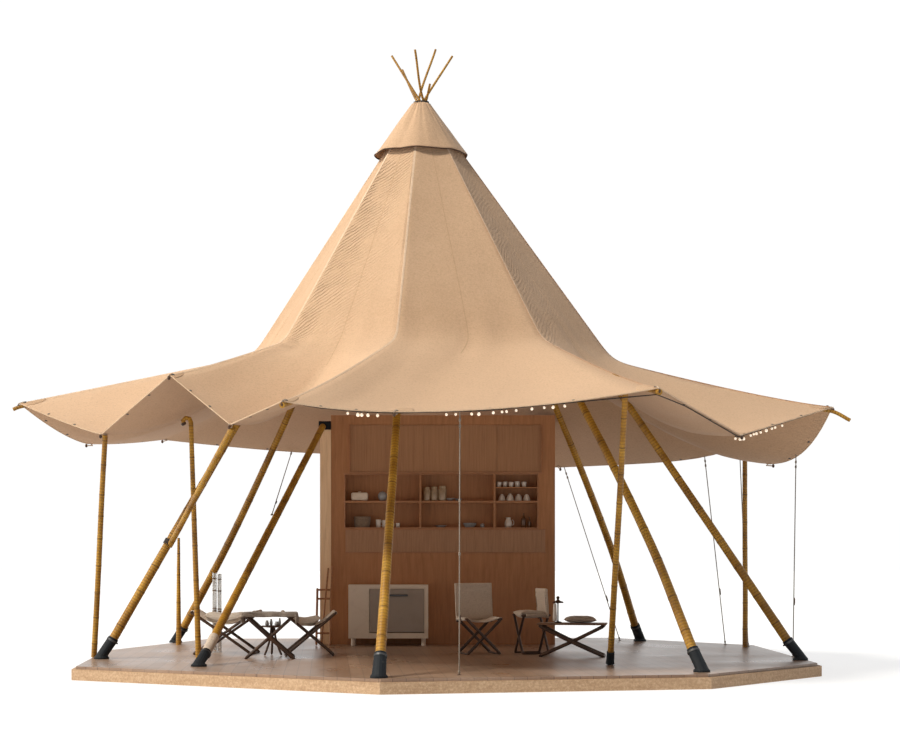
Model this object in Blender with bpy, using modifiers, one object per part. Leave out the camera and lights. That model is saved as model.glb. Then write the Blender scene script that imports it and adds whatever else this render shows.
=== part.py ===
"""Pyramid glamping tent: an eight-ridged canvas roof on leaning poles, over a timber deck
with a kitchen wall and camp furniture.

Metres, +Z up. The origin is the middle of the deck's underside, which stands on level ground.
Plan places are given by an angle, measured from the front (the -Y side) towards the right (+X),
and a radius. Heights in the tables are counted from the walking surface of the deck.
"""
import math

import bmesh
import bpy
from mathutils import Matrix, Vector
from mathutils.bvhtree import BVHTree

# Deck
FRAME_HEIGHT = 0.115
FLOOR_THICKNESS = 0.030
TOUCH = 0.0003                      # gap that is kept between pieces that touch
FACETED = 0.967                     # how far out a faceted bar reaches where it rests
DECK_TOP = FRAME_HEIGHT + TOUCH + FLOOR_THICKNESS
FLOOR_INSET = 0.045
DECK_CORNERS = (                    # angle, radius
    (-58.4, 4.39), (-5.7, 4.32), (38.4, 4.57), (68.7, 4.65),
    (117.0, 4.83), (148.8, 5.02), (217.0, 5.00), (257.5, 4.05),
)
JOIST_WIDTH = 0.06
JOIST_SPACING = 0.62
JOIST_POCKET_DEPTH = 0.095

# Crown, where the main poles cross
CROWN_X = -0.04
CROWN_HEIGHT = 6.505
BUNDLE_RADIUS = 0.046               # how far each main pole passes beside the crown's axis
POLE_FOOT_RADIUS = 0.052
POLE_EAVE_RADIUS = 0.041
POLE_CROWN_RADIUS = 0.0145
POLE_TIP_RADIUS = 0.0130
EAVE_SHARE = 0.42                   # where on a pole's length it passes the eave
POLE_STEPS = (0.2, 0.42, 0.7, 1.0)  # shares of the length at which a pole's bow is shaped
BOOT_LENGTH = 0.27
BOOT_WALL = 0.009
BOOT_FLANGE = 0.086
MAIN_POLES = (                      # name; foot angle, radius; bow to the right; place in the
    # bundle, as an angle; tip of the pole: x, y, height
    ("left", -76.0, 3.77, 0.0, 174.0, (0.329, 0.12, 7.096)),
    ("front", -6.2, 4.09, 0.0, -125.0, (0.131, 0.40, 7.247)),
    ("right_front", 41.2, 4.25, 0.155, -63.0, (-0.268, 0.35, 6.990)),
    ("right", 75.0, 4.36, 0.015, -3.0, (-0.391, 0.15, 7.106)),
    ("right_rear", 138.0, 4.35, 0.130, 49.0, (-0.113, -0.35, 7.048)),
    ("left_rear", -130.5, 4.36, 0.100, 109.0, (0.062, -0.12, 6.706)),
)
LASHING_OUTER = 0.0925
LASHING_INNER = 0.0695
LASHING_LOW = 6.484
LASHING_HIGH = 6.530

# Roof canvas
CLOTH = 0.012                       # thickness, measured straight down
CROWN_RING = 0.146
CROWN_RING_HEIGHT = 6.375
RIDGES = (                          # crown angle; knuckle angle, radius, height; tip the same;
    # how hollow the ridge hangs between its knuckle and its tip
    (-95.0, -95.0, 2.05, 3.54, -88.0, 4.75, 2.95, 1.02),
    (-63.0, -46.0, 2.15, 3.53, -44.0, 3.80, 3.045, 1.15),
    (-11.0, -8.0, 2.15, 3.49, -17.0, 4.60, 2.645, 1.18),
    (41.0, 36.5, 2.15, 3.53, 29.3, 4.62, 2.80, 1.18),
    (83.0, 78.5, 2.22, 3.42, 84.0, 4.73, 2.88, 1.25),
    (137.0, 138.0, 2.26, 3.53, 110.6, 4.35, 2.60, 1.2),
    (182.0, 178.0, 2.25, 3.53, 184.0, 4.60, 2.75, 1.1),
    (222.0, 228.0, 2.20, 3.50, 232.0, 4.40, 2.70, 1.18),
)
LOWS = (                            # low point of the hem: angle, radius, height; hollow;
    # roundness of the hem before it and after it
    (-72.0, 3.80, 2.53, 2.3, 1.15, 1.0),
    (-30.0, 3.90, 2.49, 2.3, 1.0, 1.0),
    (-4.0, 4.15, 2.563, 1.4, 2.3, 2.0),
    (56.3, 4.035, 2.454, 2.3, 1.0, 1.0),
    (97.8, 4.25, 2.28, 1.8, 2.6, 2.2),
    (154.5, 4.37, 2.387, 1.05, 6.0, 1.6),
    (200.0, 4.20, 2.58, 1.05, 1.5, 1.5),
    (254.0, 4.37, 2.56, 1.8, 1.5, 1.5),
)
COLUMNS_PER_SIDE = 3                # columns from a ridge to the low beside it
CONE_ROWS = (0.0, 0.25, 0.5, 0.75)
SKIRT_ROWS = (0.0, 0.07, 0.16, 0.27, 0.4, 0.6, 0.8, 1.0)

# Cap over the crown
CAP_X = -0.044
CAP_TOP_RADIUS = 0.097
CAP_TOP_HEIGHT = 6.500
CAP_HEM_RADIUS = 0.538
CAP_HEM_HEIGHT = 5.865
CAP_WAVE = 0.010

SPAR_RADIUS = 0.022
SPARS = (                           # ridge number, main pole, end beyond the canvas
    (0, "left", (-0.075, 0.0, -0.030)),
    (2, "front", (-0.012, -0.035, -0.010)),
    (3, "right_front", (0.020, -0.035, -0.010)),
    (4, "right", (0.205, -0.01, -0.105)),
)
SPAR_POLE_HEIGHT = 3.05

# Awning poles
AWNING_RADIUS = 0.034
AWNING_TOP_RADIUS = 0.030
STRUT_STANDOFF = 0.0655             # from the left main pole's middle line to the strut's end
CROOK_FOOT = (-2.53, -1.16)
CROOK_TOP = (-2.60, -1.30, 2.66)
CROOK_BEND = 0.055
PROP_FOOT = (1.99, -2.01)
PROP_TOP = (2.045, -3.10)
BRACE_FOOT = (-2.39, -2.30)
SHORT_POST = (-3.20, 2.25)

# Kitchen wall
WALL_LEFT = -1.221
WALL_RIGHT = 1.698
WALL_FRONT = 2.30
WALL_DEPTH = 0.30
WALL_HEIGHT = 2.88
WALL_FRONT_HEIGHT = 2.99            # its front board stands higher than the rest
WALL_FRONT_BOARD = 0.040
WALL_BOARD = 0.035
SHELF_BOARD = 0.028
CELL_LEFT = -1.041
CELL_RIGHT = 1.474
CELL_DIVIDERS = (-0.057, 0.910)
CELL_LOW = 1.520
CELL_MIDDLE = 1.861
CELL_HIGH = 2.223
SMALL_SHELF_HEIGHT = 2.045
DOOR_SEAMS = (-0.973, -0.504, -0.009, 0.4535, 0.942, 1.516)
DOOR_LOW = 2.250
DOOR_HIGH = 2.86
DOOR_THICKNESS = 0.020
DOOR_GAP = 0.005
BAND_LEFT = -1.032
BAND_RIGHT = 1.570
BAND_LOW = 1.207
BAND_HIGH = 1.494
POST_LEFT = -1.364
POST_DEPTH = 0.065
POST_HEIGHT = 2.80
BRACKET_SIZE = (0.16, 0.10, 0.11)

# Cold cabinet in front of the wall
CABINET_LEFT = -0.982
CABINET_RIGHT = 0.045
CABINET_LOW = 0.095
CABINET_HIGH = 0.785
CABINET_DEPTH = 0.32
CABINET_WALL = 0.045
CABINET_DOOR_LEFT = -0.715
CABINET_DOOR_RIGHT = -0.005
CABINET_DOOR_LOW = 0.165
CABINET_DOOR_HIGH = 0.735
CABINET_DOOR_THICKNESS = 0.035
DOOR_RUN = 0.005                    # clearance beside and above the moving door
DOOR_SWING_GAP = 0.012              # clearance under it, where its lower edge turns
HINGE_HEIGHT = 0.034
PIN_RADIUS = 0.006
PIN_PLAY = 0.0004
FOOT_RADIUS = 0.028

STAY_RADIUS = 0.006
STRING_RADIUS = 0.006
SEAT_BAR = 0.014                    # radius of the furniture's bars

for leftover in list(bpy.data.objects):
    bpy.data.objects.remove(leftover, do_unlink=True)

tent = bpy.data.collections.new("pyramid_glamping_tent")
cutters = bpy.data.collections.new("cutters")
bpy.context.scene.collection.children.link(tent)
bpy.context.scene.collection.children.link(cutters)


def material(name, color, roughness, metallic=0.0):
    made = bpy.data.materials.new(name)
    made.use_nodes = True
    made.diffuse_color = (*color, 1.0)
    shader = made.node_tree.nodes["Principled BSDF"]
    shader.inputs["Base Color"].default_value = (*color, 1.0)
    shader.inputs["Roughness"].default_value = roughness
    shader.inputs["Metallic"].default_value = metallic
    return made


CANVAS = material("canvas", (0.72, 0.53, 0.36), 0.85)
POLE_WOOD = material("pole_wood", (0.42, 0.26, 0.08), 0.5)
BOOT_RUBBER = material("boot_rubber", (0.05, 0.06, 0.07), 0.6)
CORD = material("cord", (0.45, 0.42, 0.38), 0.8)
DARK_CORD = material("dark_cord", (0.05, 0.04, 0.03), 0.8)
FASCIA_WOOD = material("fascia_wood", (0.68, 0.47, 0.28), 0.6)
FLOOR_WOOD = material("floor_wood", (0.42, 0.29, 0.21), 0.55)
WALL_WOOD = material("wall_wood", (0.26, 0.13, 0.07), 0.6)
PALE_WOOD = material("pale_wood", (0.50, 0.34, 0.20), 0.6)
CABINET_PAINT = material("cabinet_paint", (0.72, 0.70, 0.68), 0.4)
STEEL = material("steel", (0.20, 0.20, 0.21), 0.4, 0.8)
DARK_TUBE = material("dark_tube", (0.06, 0.04, 0.03), 0.5)
CHAIR_CLOTH = material("chair_cloth", (0.50, 0.46, 0.43), 0.9)
TABLE_TOP = material("table_top", (0.20, 0.19, 0.19), 0.7)


def spot(angle, radius, height=0.0):
    """A point at a height over the deck, from its angle off the front and its radius."""
    turn = math.radians(angle)
    return Vector((radius * math.sin(turn), -radius * math.cos(turn), DECK_TOP + height))


def on_deck(place, height=0.0):
    return Vector((place[0], place[1], DECK_TOP + height))


def standing(place, top, radius):
    """The lower end of a raking round bar whose square-cut end just clears the deck."""
    foot = on_deck(place)
    axis = (top - foot).normalized()
    return foot + axis * (radius * FACETED * math.tan(math.acos(axis.z)) + TOUCH / axis.z)


def add(name, data, look, collection=tent):
    made = bpy.data.objects.new(name, data)
    data.materials.append(look)
    collection.objects.link(made)
    if collection is cutters:
        made.hide_render = True
        made.display_type = 'WIRE'
    return made


def finish_mesh(mesh_data, name):
    bmesh.ops.recalc_face_normals(mesh_data, faces=mesh_data.faces)
    mesh = bpy.data.meshes.new(name)
    mesh_data.to_mesh(mesh)
    mesh_data.free()
    return mesh


def box(name, low, high, look, collection=tent, rounding=0.0):
    """A box between two corners, with its edges rounded if asked."""
    low = Vector(low)
    high = Vector(high)
    shape = bmesh.new()
    bmesh.ops.create_cube(shape, size=1.0)
    size = high - low
    bmesh.ops.scale(shape, vec=size, verts=shape.verts)
    bmesh.ops.translate(shape, vec=(low + high) / 2, verts=shape.verts)
    made = add(name, finish_mesh(shape, name), look, collection)
    if rounding:
        bevel = made.modifiers.new("rounded", 'BEVEL')
        bevel.width = rounding
        bevel.segments = 2
    return made


def rod_mesh(shape, start, end, radius, sides=8):
    """Adds a straight round bar to a bmesh."""
    axis = end - start
    turn = axis.to_track_quat('Z', 'Y').to_matrix().to_4x4()
    placed = Matrix.Translation((start + end) / 2) @ turn
    bmesh.ops.create_cone(
        shape, cap_ends=True, segments=sides, radius1=radius, radius2=radius,
        depth=axis.length, matrix=placed)


def rod(name, start, end, radius, look, collection=tent, sides=10):
    shape = bmesh.new()
    rod_mesh(shape, Vector(start), Vector(end), radius, sides)
    return add(name, finish_mesh(shape, name), look, collection)


def tube(name, points, radius, look, radii=None, resolution=3):
    """A round bar along a polyline, thinner or thicker at its points if radii are given."""
    curve = bpy.data.curves.new(name, 'CURVE')
    curve.dimensions = '3D'
    curve.bevel_depth = radius
    curve.bevel_resolution = resolution
    curve.use_fill_caps = True
    spline = curve.splines.new('POLY')
    spline.points.add(len(points) - 1)
    for index, point in enumerate(points):
        spline.points[index].co = (*point, 1.0)
        if radii:
            spline.points[index].radius = radii[index] / radius
    return add(name, curve, look)


def prism(name, outline, low, high, look, collection=tent):
    """An upright block over a flat outline."""
    shape = bmesh.new()
    corners = [shape.verts.new((x, y, low)) for x, y in outline]
    face = shape.faces.new(corners)
    raised = bmesh.ops.extrude_face_region(shape, geom=[face])
    tops = [item for item in raised["geom"] if isinstance(item, bmesh.types.BMVert)]
    bmesh.ops.translate(shape, vec=(0, 0, high - low), verts=tops)
    return add(name, finish_mesh(shape, name), look, collection)


def sheet(name, rows, look, drop, closed=False):
    """A cloth through rows of points, made solid by moving a copy of it by drop. Each bent
    four-sided patch is parted along its shorter diagonal."""
    shape = bmesh.new()
    grid = [[shape.verts.new(point) for point in row] for row in rows]
    count = len(grid[0])
    last = count if closed else count - 1
    for upper, lower in zip(grid, grid[1:]):
        for column in range(last):
            following = (column + 1) % count
            patch = (upper[column], upper[following], lower[following], lower[column])
            first, second, third, fourth = patch
            if (first.co - third.co).length < (second.co - fourth.co).length:
                shape.faces.new((first, second, third))
                shape.faces.new((first, third, fourth))
            else:
                shape.faces.new((first, second, fourth))
                shape.faces.new((second, third, fourth))
    doubled = bmesh.ops.extrude_face_region(shape, geom=list(shape.faces))
    copies = [item for item in doubled["geom"] if isinstance(item, bmesh.types.BMVert)]
    bmesh.ops.translate(shape, vec=drop, verts=copies)
    return add(name, finish_mesh(shape, name), look)


def combine(base, others, operation):
    """Cuts the other objects from the base, or joins them to it."""
    for other in others:
        step = base.modifiers.new(operation.lower(), 'BOOLEAN')
        step.operation = operation
        step.solver = 'EXACT'
        step.object = other
    return base


def frame_of_rods(name, lines, radius, look, sides=8):
    """Crossing round bars, joined into one welded frame. Each bar is a little thinner than the
    one before it, so that no two faces lie in one plane where bars meet."""
    first = rod(name, *lines[0], radius, look, sides=sides)
    rest = [
        rod(f"{name}_bar_{number}", start, end, radius * (1 - 0.013 * number), look, cutters,
            sides)
        for number, (start, end) in enumerate(lines[1:], 1)]
    return combine(first, rest, 'UNION')


def inset_outline(corners, distance):
    """The same outline with every side moved inwards."""
    moved = []
    count = len(corners)
    for index in range(count):
        before, here, after = corners[index - 1], corners[index], corners[(index + 1) % count]
        first = (here - before).normalized()
        second = (after - here).normalized()
        inwards = (Vector((-first.y, first.x)) + Vector((-second.y, second.x)))
        inwards = inwards / inwards.length_squared * 2.0
        moved.append(here + inwards * distance)
    return moved


def build_deck():
    corners = [spot(angle, radius).to_2d() for angle, radius in DECK_CORNERS]
    frame = prism("deck_frame", corners, 0.0, FRAME_HEIGHT, FASCIA_WOOD)
    inner = inset_outline(corners, JOIST_WIDTH)
    pockets = []
    half = JOIST_WIDTH / 2
    reach = 6.0
    bays = math.ceil(5.0 / JOIST_SPACING)
    for bay in range(-bays, bays):
        left = bay * JOIST_SPACING + half
        right = (bay + 1) * JOIST_SPACING - half
        strip = prism(
            f"pocket_{bay + bays}", inner, -0.01, JOIST_POCKET_DEPTH, FASCIA_WOOD, cutters)
        slot = box(
            f"slot_{bay + bays}", (left, -reach, -0.02), (right, reach, 1.0), FASCIA_WOOD, cutters)
        combine(strip, [slot], 'INTERSECT')
        if min(x for x, y in inner) < left and right < max(x for x, y in inner):
            pockets.append(strip)
    combine(frame, pockets, 'DIFFERENCE')
    floor = inset_outline(corners, FLOOR_INSET)
    prism("deck_floor", floor, FRAME_HEIGHT + TOUCH, DECK_TOP, FLOOR_WOOD)


def pole_point(angle, radius, bow, bundle_angle, share):
    """A point of a main pole, from its foot (share 0) to the crossing at the crown (share 1)."""
    foot = spot(angle, radius)
    crossing = spot(bundle_angle, BUNDLE_RADIUS, CROWN_HEIGHT) + Vector((CROWN_X, 0.0, 0.0))
    bend = 6.75 * share * (1 - share) ** 2
    return foot.lerp(crossing, share) + Vector((bow * bend, 0.0, 0.0))


def build_boot(name, foot, axis, pole_radius):
    """A rubber boot: a flat flange on the deck, rising into a sleeve that leans with the pole."""
    sides = 16
    across = axis.orthogonal().normalized()
    along = axis.cross(across).normalized()
    flat = Matrix.Identity(3)
    sleeve = Matrix((across, along, axis)).transposed()
    flange_height = 0.018
    sections = (                    # share of the sleeve's lean, height or length, radius
        (flat, foot + Vector((0, 0, TOUCH)), BOOT_FLANGE),
        (flat, foot + Vector((0, 0, flange_height)), BOOT_FLANGE),
        (flat, foot + Vector((0, 0, flange_height * 2)), pole_radius + BOOT_WALL * 2),
        (sleeve, foot + axis * BOOT_LENGTH, pole_radius + BOOT_WALL),
    )
    shape = bmesh.new()
    rings = []
    start = sleeve.inverted() @ Vector((1, 0, 0))
    offset = math.atan2(start.y, start.x)
    for frame, middle, radius in sections:
        turn = offset if frame is sleeve else 0.0
        ring = []
        for side in range(sides):
            angle = turn + math.tau * side / sides
            ring.append(shape.verts.new(
                middle + frame @ Vector((math.cos(angle), math.sin(angle), 0.0)) * radius))
        rings.append(ring)
    for lower, upper in zip(rings, rings[1:]):
        for side in range(sides):
            following = (side + 1) % sides
            shape.faces.new((lower[side], lower[following], upper[following], upper[side]))
    shape.faces.new(list(reversed(rings[0])))
    shape.faces.new(rings[-1])
    return add(name, finish_mesh(shape, name), BOOT_RUBBER)


def build_main_poles():
    """The main poles and their boots. Returns where each pole passes the spars' height, which
    way it runs there, and its radius there."""
    eaves = {}
    for name, angle, radius, bow, bundle_angle, tip in MAIN_POLES:
        foot = spot(angle, radius)
        points = [pole_point(angle, radius, bow, bundle_angle, share) for share in POLE_STEPS]
        radii = []
        for share in POLE_STEPS:
            if share <= EAVE_SHARE:
                thinning = (POLE_FOOT_RADIUS - POLE_EAVE_RADIUS) * share / EAVE_SHARE
                radii.append(POLE_FOOT_RADIUS - thinning)
            else:
                thinning = (POLE_EAVE_RADIUS - POLE_CROWN_RADIUS) / (1 - EAVE_SHARE)
                radii.append(POLE_EAVE_RADIUS - thinning * (share - EAVE_SHARE))
        axis = (points[0] - foot).normalized()
        start = foot + axis * (BOOT_LENGTH + TOUCH)
        end = Vector((tip[0], tip[1], DECK_TOP + tip[2]))
        tube(
            f"main_pole_{name}", (start, *points, end), POLE_FOOT_RADIUS, POLE_WOOD,
            (POLE_FOOT_RADIUS, *radii, POLE_TIP_RADIUS), 4)
        build_boot(f"pole_boot_{name}", foot, axis, POLE_FOOT_RADIUS)
        lower, upper = points[1], points[2]
        share = (DECK_TOP + SPAR_POLE_HEIGHT - lower.z) / (upper.z - lower.z)
        eaves[name] = (
            lower.lerp(upper, share), (upper - lower).normalized(),
            radii[1] + (radii[2] - radii[1]) * share)
    return eaves


def build_lashing():
    low = Vector((CROWN_X, 0.0, DECK_TOP + LASHING_LOW))
    high = Vector((CROWN_X, 0.0, DECK_TOP + LASHING_HIGH))
    more = Vector((0, 0, 0.05))
    ring = rod("crown_lashing", low, high, LASHING_OUTER, DARK_CORD, sides=24)
    bore = rod("lashing_bore", low - more, high + more, LASHING_INNER, DARK_CORD, cutters, 24)
    combine(ring, [bore], 'DIFFERENCE')


def ridge_place(number, part):
    """The crown angle, knuckle or tip of a ridge. Ridge numbers run on round the tent."""
    turns, index = divmod(number, len(RIDGES))
    crown, knuckle, knuckle_radius, knuckle_height, tip, tip_radius, tip_height, _ = RIDGES[index]
    if part == "crown":
        return crown + 360.0 * turns
    if part == "knuckle":
        return spot(knuckle, knuckle_radius, knuckle_height)
    return spot(tip, tip_radius, tip_height)


def hem_point(side, share):
    """A point of the hem between ridge number side (share 0) and the next one (share 1)."""
    low_angle, low_radius, low_height, _, round_before, round_after = LOWS[side]
    low = spot(low_angle, low_radius, low_height)
    near = share <= 0.5
    roundness = round_before if near else round_after
    tip = ridge_place(side if near else side + 1, "tip")
    towards_low = share * 2 if near else (1 - share) * 2
    point = tip.lerp(low, towards_low)
    eased = 1 - (1 - towards_low) ** roundness
    point.z = tip.z + (low.z - tip.z) * eased
    return point


def skirt_point(side, share, out):
    """A point of the skirt, from the knuckle (out 0) to the hem (out 1)."""
    knuckle = ridge_place(side, "knuckle").lerp(ridge_place(side + 1, "knuckle"), share)
    hem = hem_point(side, share)
    lowness = 1 - abs(share * 2 - 1)
    ridge = RIDGES[(side if share <= 0.5 else side + 1) % len(RIDGES)][-1]
    power = ridge + (LOWS[side][3] - ridge) * lowness
    point = knuckle.lerp(hem, out)
    point.z = hem.z + (knuckle.z - hem.z) * (1 - out) ** power
    return point


def cone_point(side, share, down):
    """A point of the steep cone, from the crown (down 0) to the knuckle (down 1)."""
    first = ridge_place(side, "crown")
    angle = first + (ridge_place(side + 1, "crown") - first) * share
    crown = spot(angle, CROWN_RING, CROWN_RING_HEIGHT) + Vector((CROWN_X, 0.0, 0.0))
    knuckle = ridge_place(side, "knuckle").lerp(ridge_place(side + 1, "knuckle"), share)
    return crown.lerp(knuckle, down)


def roof_over(place):
    """The point of the roof's top surface over a place in plan, or None beside the roof."""
    return roof_tree.ray_cast(on_deck(place, 10.0), Vector((0, 0, -1)))[0]


def room_over(points, radius, sides=16):
    """The least height that is free between a round bar along these points and the canvas."""
    least = 1.0
    for lower, upper in zip(points, points[1:]):
        axis = (upper - lower).normalized()
        across = axis.orthogonal().normalized()
        along = axis.cross(across)
        steps = max(1, round((upper - lower).length / 0.05))
        for step in range(steps + 1):
            middle = lower.lerp(upper, step / steps)
            for reach in (0.0, radius * 0.25, radius * 0.5, radius * 0.75, radius):
                for side in range(sides):
                    turn = math.tau * side / sides
                    rim = middle + (across * math.cos(turn) + along * math.sin(turn)) * reach
                    canvas = roof_over(rim)
                    if canvas:
                        least = min(least, canvas.z - CLOTH - rim.z)
    return least


def end_under_canvas(foot, place, radius):
    """The upper end of a straight bar from foot, just under the canvas at a place."""
    end = roof_over(place) - Vector((0, 0, CLOTH + radius * 2))
    for _ in range(3):
        last_part = end - (end - foot).normalized() * 0.002
        end.z += room_over((last_part, end), radius, 96) - TOUCH * 1.5
    return end


def build_roof():
    steps = COLUMNS_PER_SIDE * 2
    columns = [(side, step / steps) for side in range(len(RIDGES)) for step in range(steps)]
    rows = [[cone_point(side, share, down) for side, share in columns] for down in CONE_ROWS]
    rows += [[skirt_point(side, share, out) for side, share in columns] for out in SKIRT_ROWS]
    sheet("roof_canvas", rows, CANVAS, (0, 0, -CLOTH), closed=True)


def build_cap():
    sides = 48
    folds = 8
    middle = Vector((CAP_X, 0.0, 0.0))
    rows = []
    for share in (0.0, 0.35, 0.7, 1.0):
        row = []
        for step in range(sides):
            angle = 360.0 * step / sides
            wave = math.cos(math.radians(angle * folds + 20.0)) * share * share
            radius = CAP_TOP_RADIUS + (CAP_HEM_RADIUS - CAP_TOP_RADIUS) * share
            height = CAP_TOP_HEIGHT + (CAP_HEM_HEIGHT - CAP_TOP_HEIGHT) * share
            row.append(middle + spot(angle, radius + CAP_WAVE * wave, height + CAP_WAVE * wave))
        rows.append(row)
    sheet("cap_canvas", rows, CANVAS, (0, 0, -CLOTH), closed=True)


def build_spars(eaves):
    """Spars under four ridges, each lashed beside its main pole and standing out at the tip."""
    for number, pole, beyond in SPARS:
        knuckle = ridge_place(number, "knuckle")
        meeting, axis, pole_radius = eaves[pole]
        drop = CLOTH + SPAR_RADIUS * 2
        for _ in range(4):
            rests = [
                skirt_point(number, 0.0, out) - Vector((0, 0, drop)) for out in SKIRT_ROWS[-3:]]
            aim = (rests[0] - meeting).normalized()
            sideways = axis.cross(aim).normalized()
            if sideways.dot(knuckle - meeting) < 0:
                sideways = -sideways
            start = meeting + sideways * (pole_radius + SPAR_RADIUS - TOUCH)
            aim = (rests[0] - start).normalized()
            points = (start - aim * 0.12, *rests, rests[-1] + Vector(beyond))
            drop -= room_over(points, SPAR_RADIUS) - TOUCH * 2
        tube(f"ridge_spar_{pole}", points, SPAR_RADIUS, POLE_WOOD)


def pole_under(name, foot, place):
    """An awning pole from the deck to just under the canvas at a place."""
    top = end_under_canvas(on_deck(foot), place, AWNING_TOP_RADIUS)
    tube(name, (standing(foot, top, AWNING_RADIUS), top), AWNING_RADIUS, POLE_WOOD,
         (AWNING_RADIUS, AWNING_TOP_RADIUS))


def build_corner_strut(place):
    """The strut that leans out from the left main pole to just under the canvas at a place."""
    _, angle, radius, bow, bundle_angle, _ = MAIN_POLES[0]
    grip, above = (pole_point(angle, radius, bow, bundle_angle, share) for share in POLE_STEPS[:2])
    along = (above - grip).normalized()
    away = place - grip
    away = (away - along * away.dot(along)).normalized()
    start = grip + away * STRUT_STANDOFF
    top = end_under_canvas(start, place, AWNING_TOP_RADIUS)
    tube("awning_pole_corner", (start, top), AWNING_RADIUS, POLE_WOOD,
         (AWNING_RADIUS, AWNING_TOP_RADIUS))


def build_awning_poles():
    lows = [spot(angle, radius - 0.04) for angle, radius, *_ in LOWS]
    pole_under("awning_pole_left", (-3.79, -0.66), lows[0])
    build_corner_strut(lows[1])
    pole_under("awning_pole_right", (4.06, 1.62), ridge_place(5, "tip") * 0.992)
    pole_under("awning_pole_rear", (-0.30, 4.00), ridge_place(6, "tip") * 0.992)
    pole_under("awning_pole_front", PROP_FOOT, PROP_TOP)

    tube("short_post", (on_deck(SHORT_POST, TOUCH), on_deck(SHORT_POST, 1.39)), 0.036,
         POLE_WOOD, (0.036, 0.018))
    top = on_deck(CROOK_TOP[:2], CROOK_TOP[2])
    points = [standing(CROOK_FOOT, top, AWNING_RADIUS)]
    for step in range(9):
        turn = math.pi * 1.25 * step / 8
        points.append(top + Vector((
            -CROOK_BEND * (1 - math.cos(turn)), 0.0, CROOK_BEND * math.sin(turn))))
    tube("crook_pole", points, AWNING_RADIUS, POLE_WOOD,
         [AWNING_RADIUS] + [0.026] * 9, 3)


def build_wall():
    floor = DECK_TOP + TOUCH
    front = WALL_FRONT
    back = WALL_FRONT + WALL_DEPTH
    carcass = box("kitchen_wall", (WALL_LEFT, front, floor),
                  (WALL_RIGHT, back, DECK_TOP + WALL_FRONT_HEIGHT), WALL_WOOD)
    inside = back - WALL_BOARD
    half = SHELF_BOARD / 2
    edges = (CELL_LEFT, *CELL_DIVIDERS, CELL_RIGHT)
    holes = [box(
        "wall_step", (WALL_LEFT - 0.1, front + WALL_FRONT_BOARD, DECK_TOP + WALL_HEIGHT),
        (WALL_RIGHT + 0.1, back + 0.1, DECK_TOP + WALL_FRONT_HEIGHT + 0.1), WALL_WOOD, cutters)]
    for column, (left, right) in enumerate(zip(edges, edges[1:])):
        left = left if column == 0 else left + half
        right = right if column == len(edges) - 2 else right - half
        levels = [(CELL_LOW, CELL_MIDDLE - half), (CELL_MIDDLE + half, CELL_HIGH)]
        if column == 2:
            levels = [levels[0], (CELL_MIDDLE + half, SMALL_SHELF_HEIGHT - half / 2),
                      (SMALL_SHELF_HEIGHT + half / 2, CELL_HIGH)]
        for row, (low, high) in enumerate(levels):
            holes.append(box(
                f"cell_{column}_{row}", (left, front - 0.05, DECK_TOP + low),
                (right, inside, DECK_TOP + high), WALL_WOOD, cutters))
    door_back = front + DOOR_THICKNESS
    holes.append(box(
        "door_rebate", (DOOR_SEAMS[0] - DOOR_GAP, front - 0.05, DECK_TOP + DOOR_LOW - DOOR_GAP),
        (DOOR_SEAMS[-1] + DOOR_GAP, door_back + TOUCH, DECK_TOP + DOOR_HIGH + DOOR_GAP),
        WALL_WOOD, cutters))
    combine(carcass, holes, 'DIFFERENCE')
    doors = box("cupboard_doors", (DOOR_SEAMS[0], front, DECK_TOP + DOOR_LOW),
                (DOOR_SEAMS[-1], door_back, DECK_TOP + DOOR_HIGH), WALL_WOOD)
    seams = []
    for number, seam in enumerate(DOOR_SEAMS[1:-1], 1):
        seams.append(box(
            f"door_seam_{number}", (seam - DOOR_GAP / 2, front - 0.05, DECK_TOP + DOOR_LOW - 0.05),
            (seam + DOOR_GAP / 2, front + DOOR_THICKNESS * 0.7, DECK_TOP + DOOR_HIGH + 0.05),
            WALL_WOOD, cutters))
    combine(doors, seams, 'DIFFERENCE')
    box("band_panel", (BAND_LEFT, front - TOUCH - 0.018, DECK_TOP + BAND_LOW),
        (BAND_RIGHT, front - TOUCH, DECK_TOP + BAND_HIGH), PALE_WOOD)
    box("wall_post", (POST_LEFT, front - 0.01, floor),
        (WALL_LEFT - TOUCH, front - 0.01 + POST_DEPTH, DECK_TOP + POST_HEIGHT), PALE_WOOD)


def build_brace():
    """A pole that rakes back from the deck's front left to a bracket on the wall post."""
    wide, deep, tall = BRACKET_SIZE
    low = DECK_TOP + POST_HEIGHT + TOUCH
    right = WALL_LEFT - TOUCH
    box("brace_bracket", (right - wide, WALL_FRONT - 0.03, low),
        (right, WALL_FRONT - 0.03 + deep, low + tall), STEEL, rounding=0.008)
    foot = on_deck(BRACE_FOOT)
    seat = Vector((right - wide * 0.62, WALL_FRONT - 0.03, low + tall * 0.5))
    axis = (seat - foot).normalized()
    radius = 0.046
    sink = radius * 0.92 * math.tan(math.acos(axis.y)) + TOUCH
    start = foot + axis * (BOOT_LENGTH + TOUCH)
    tube("brace_pole", (start, seat - axis * sink), radius, POLE_WOOD, (radius, radius * 0.9), 4)
    build_boot("brace_boot", foot, axis, radius)


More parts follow.
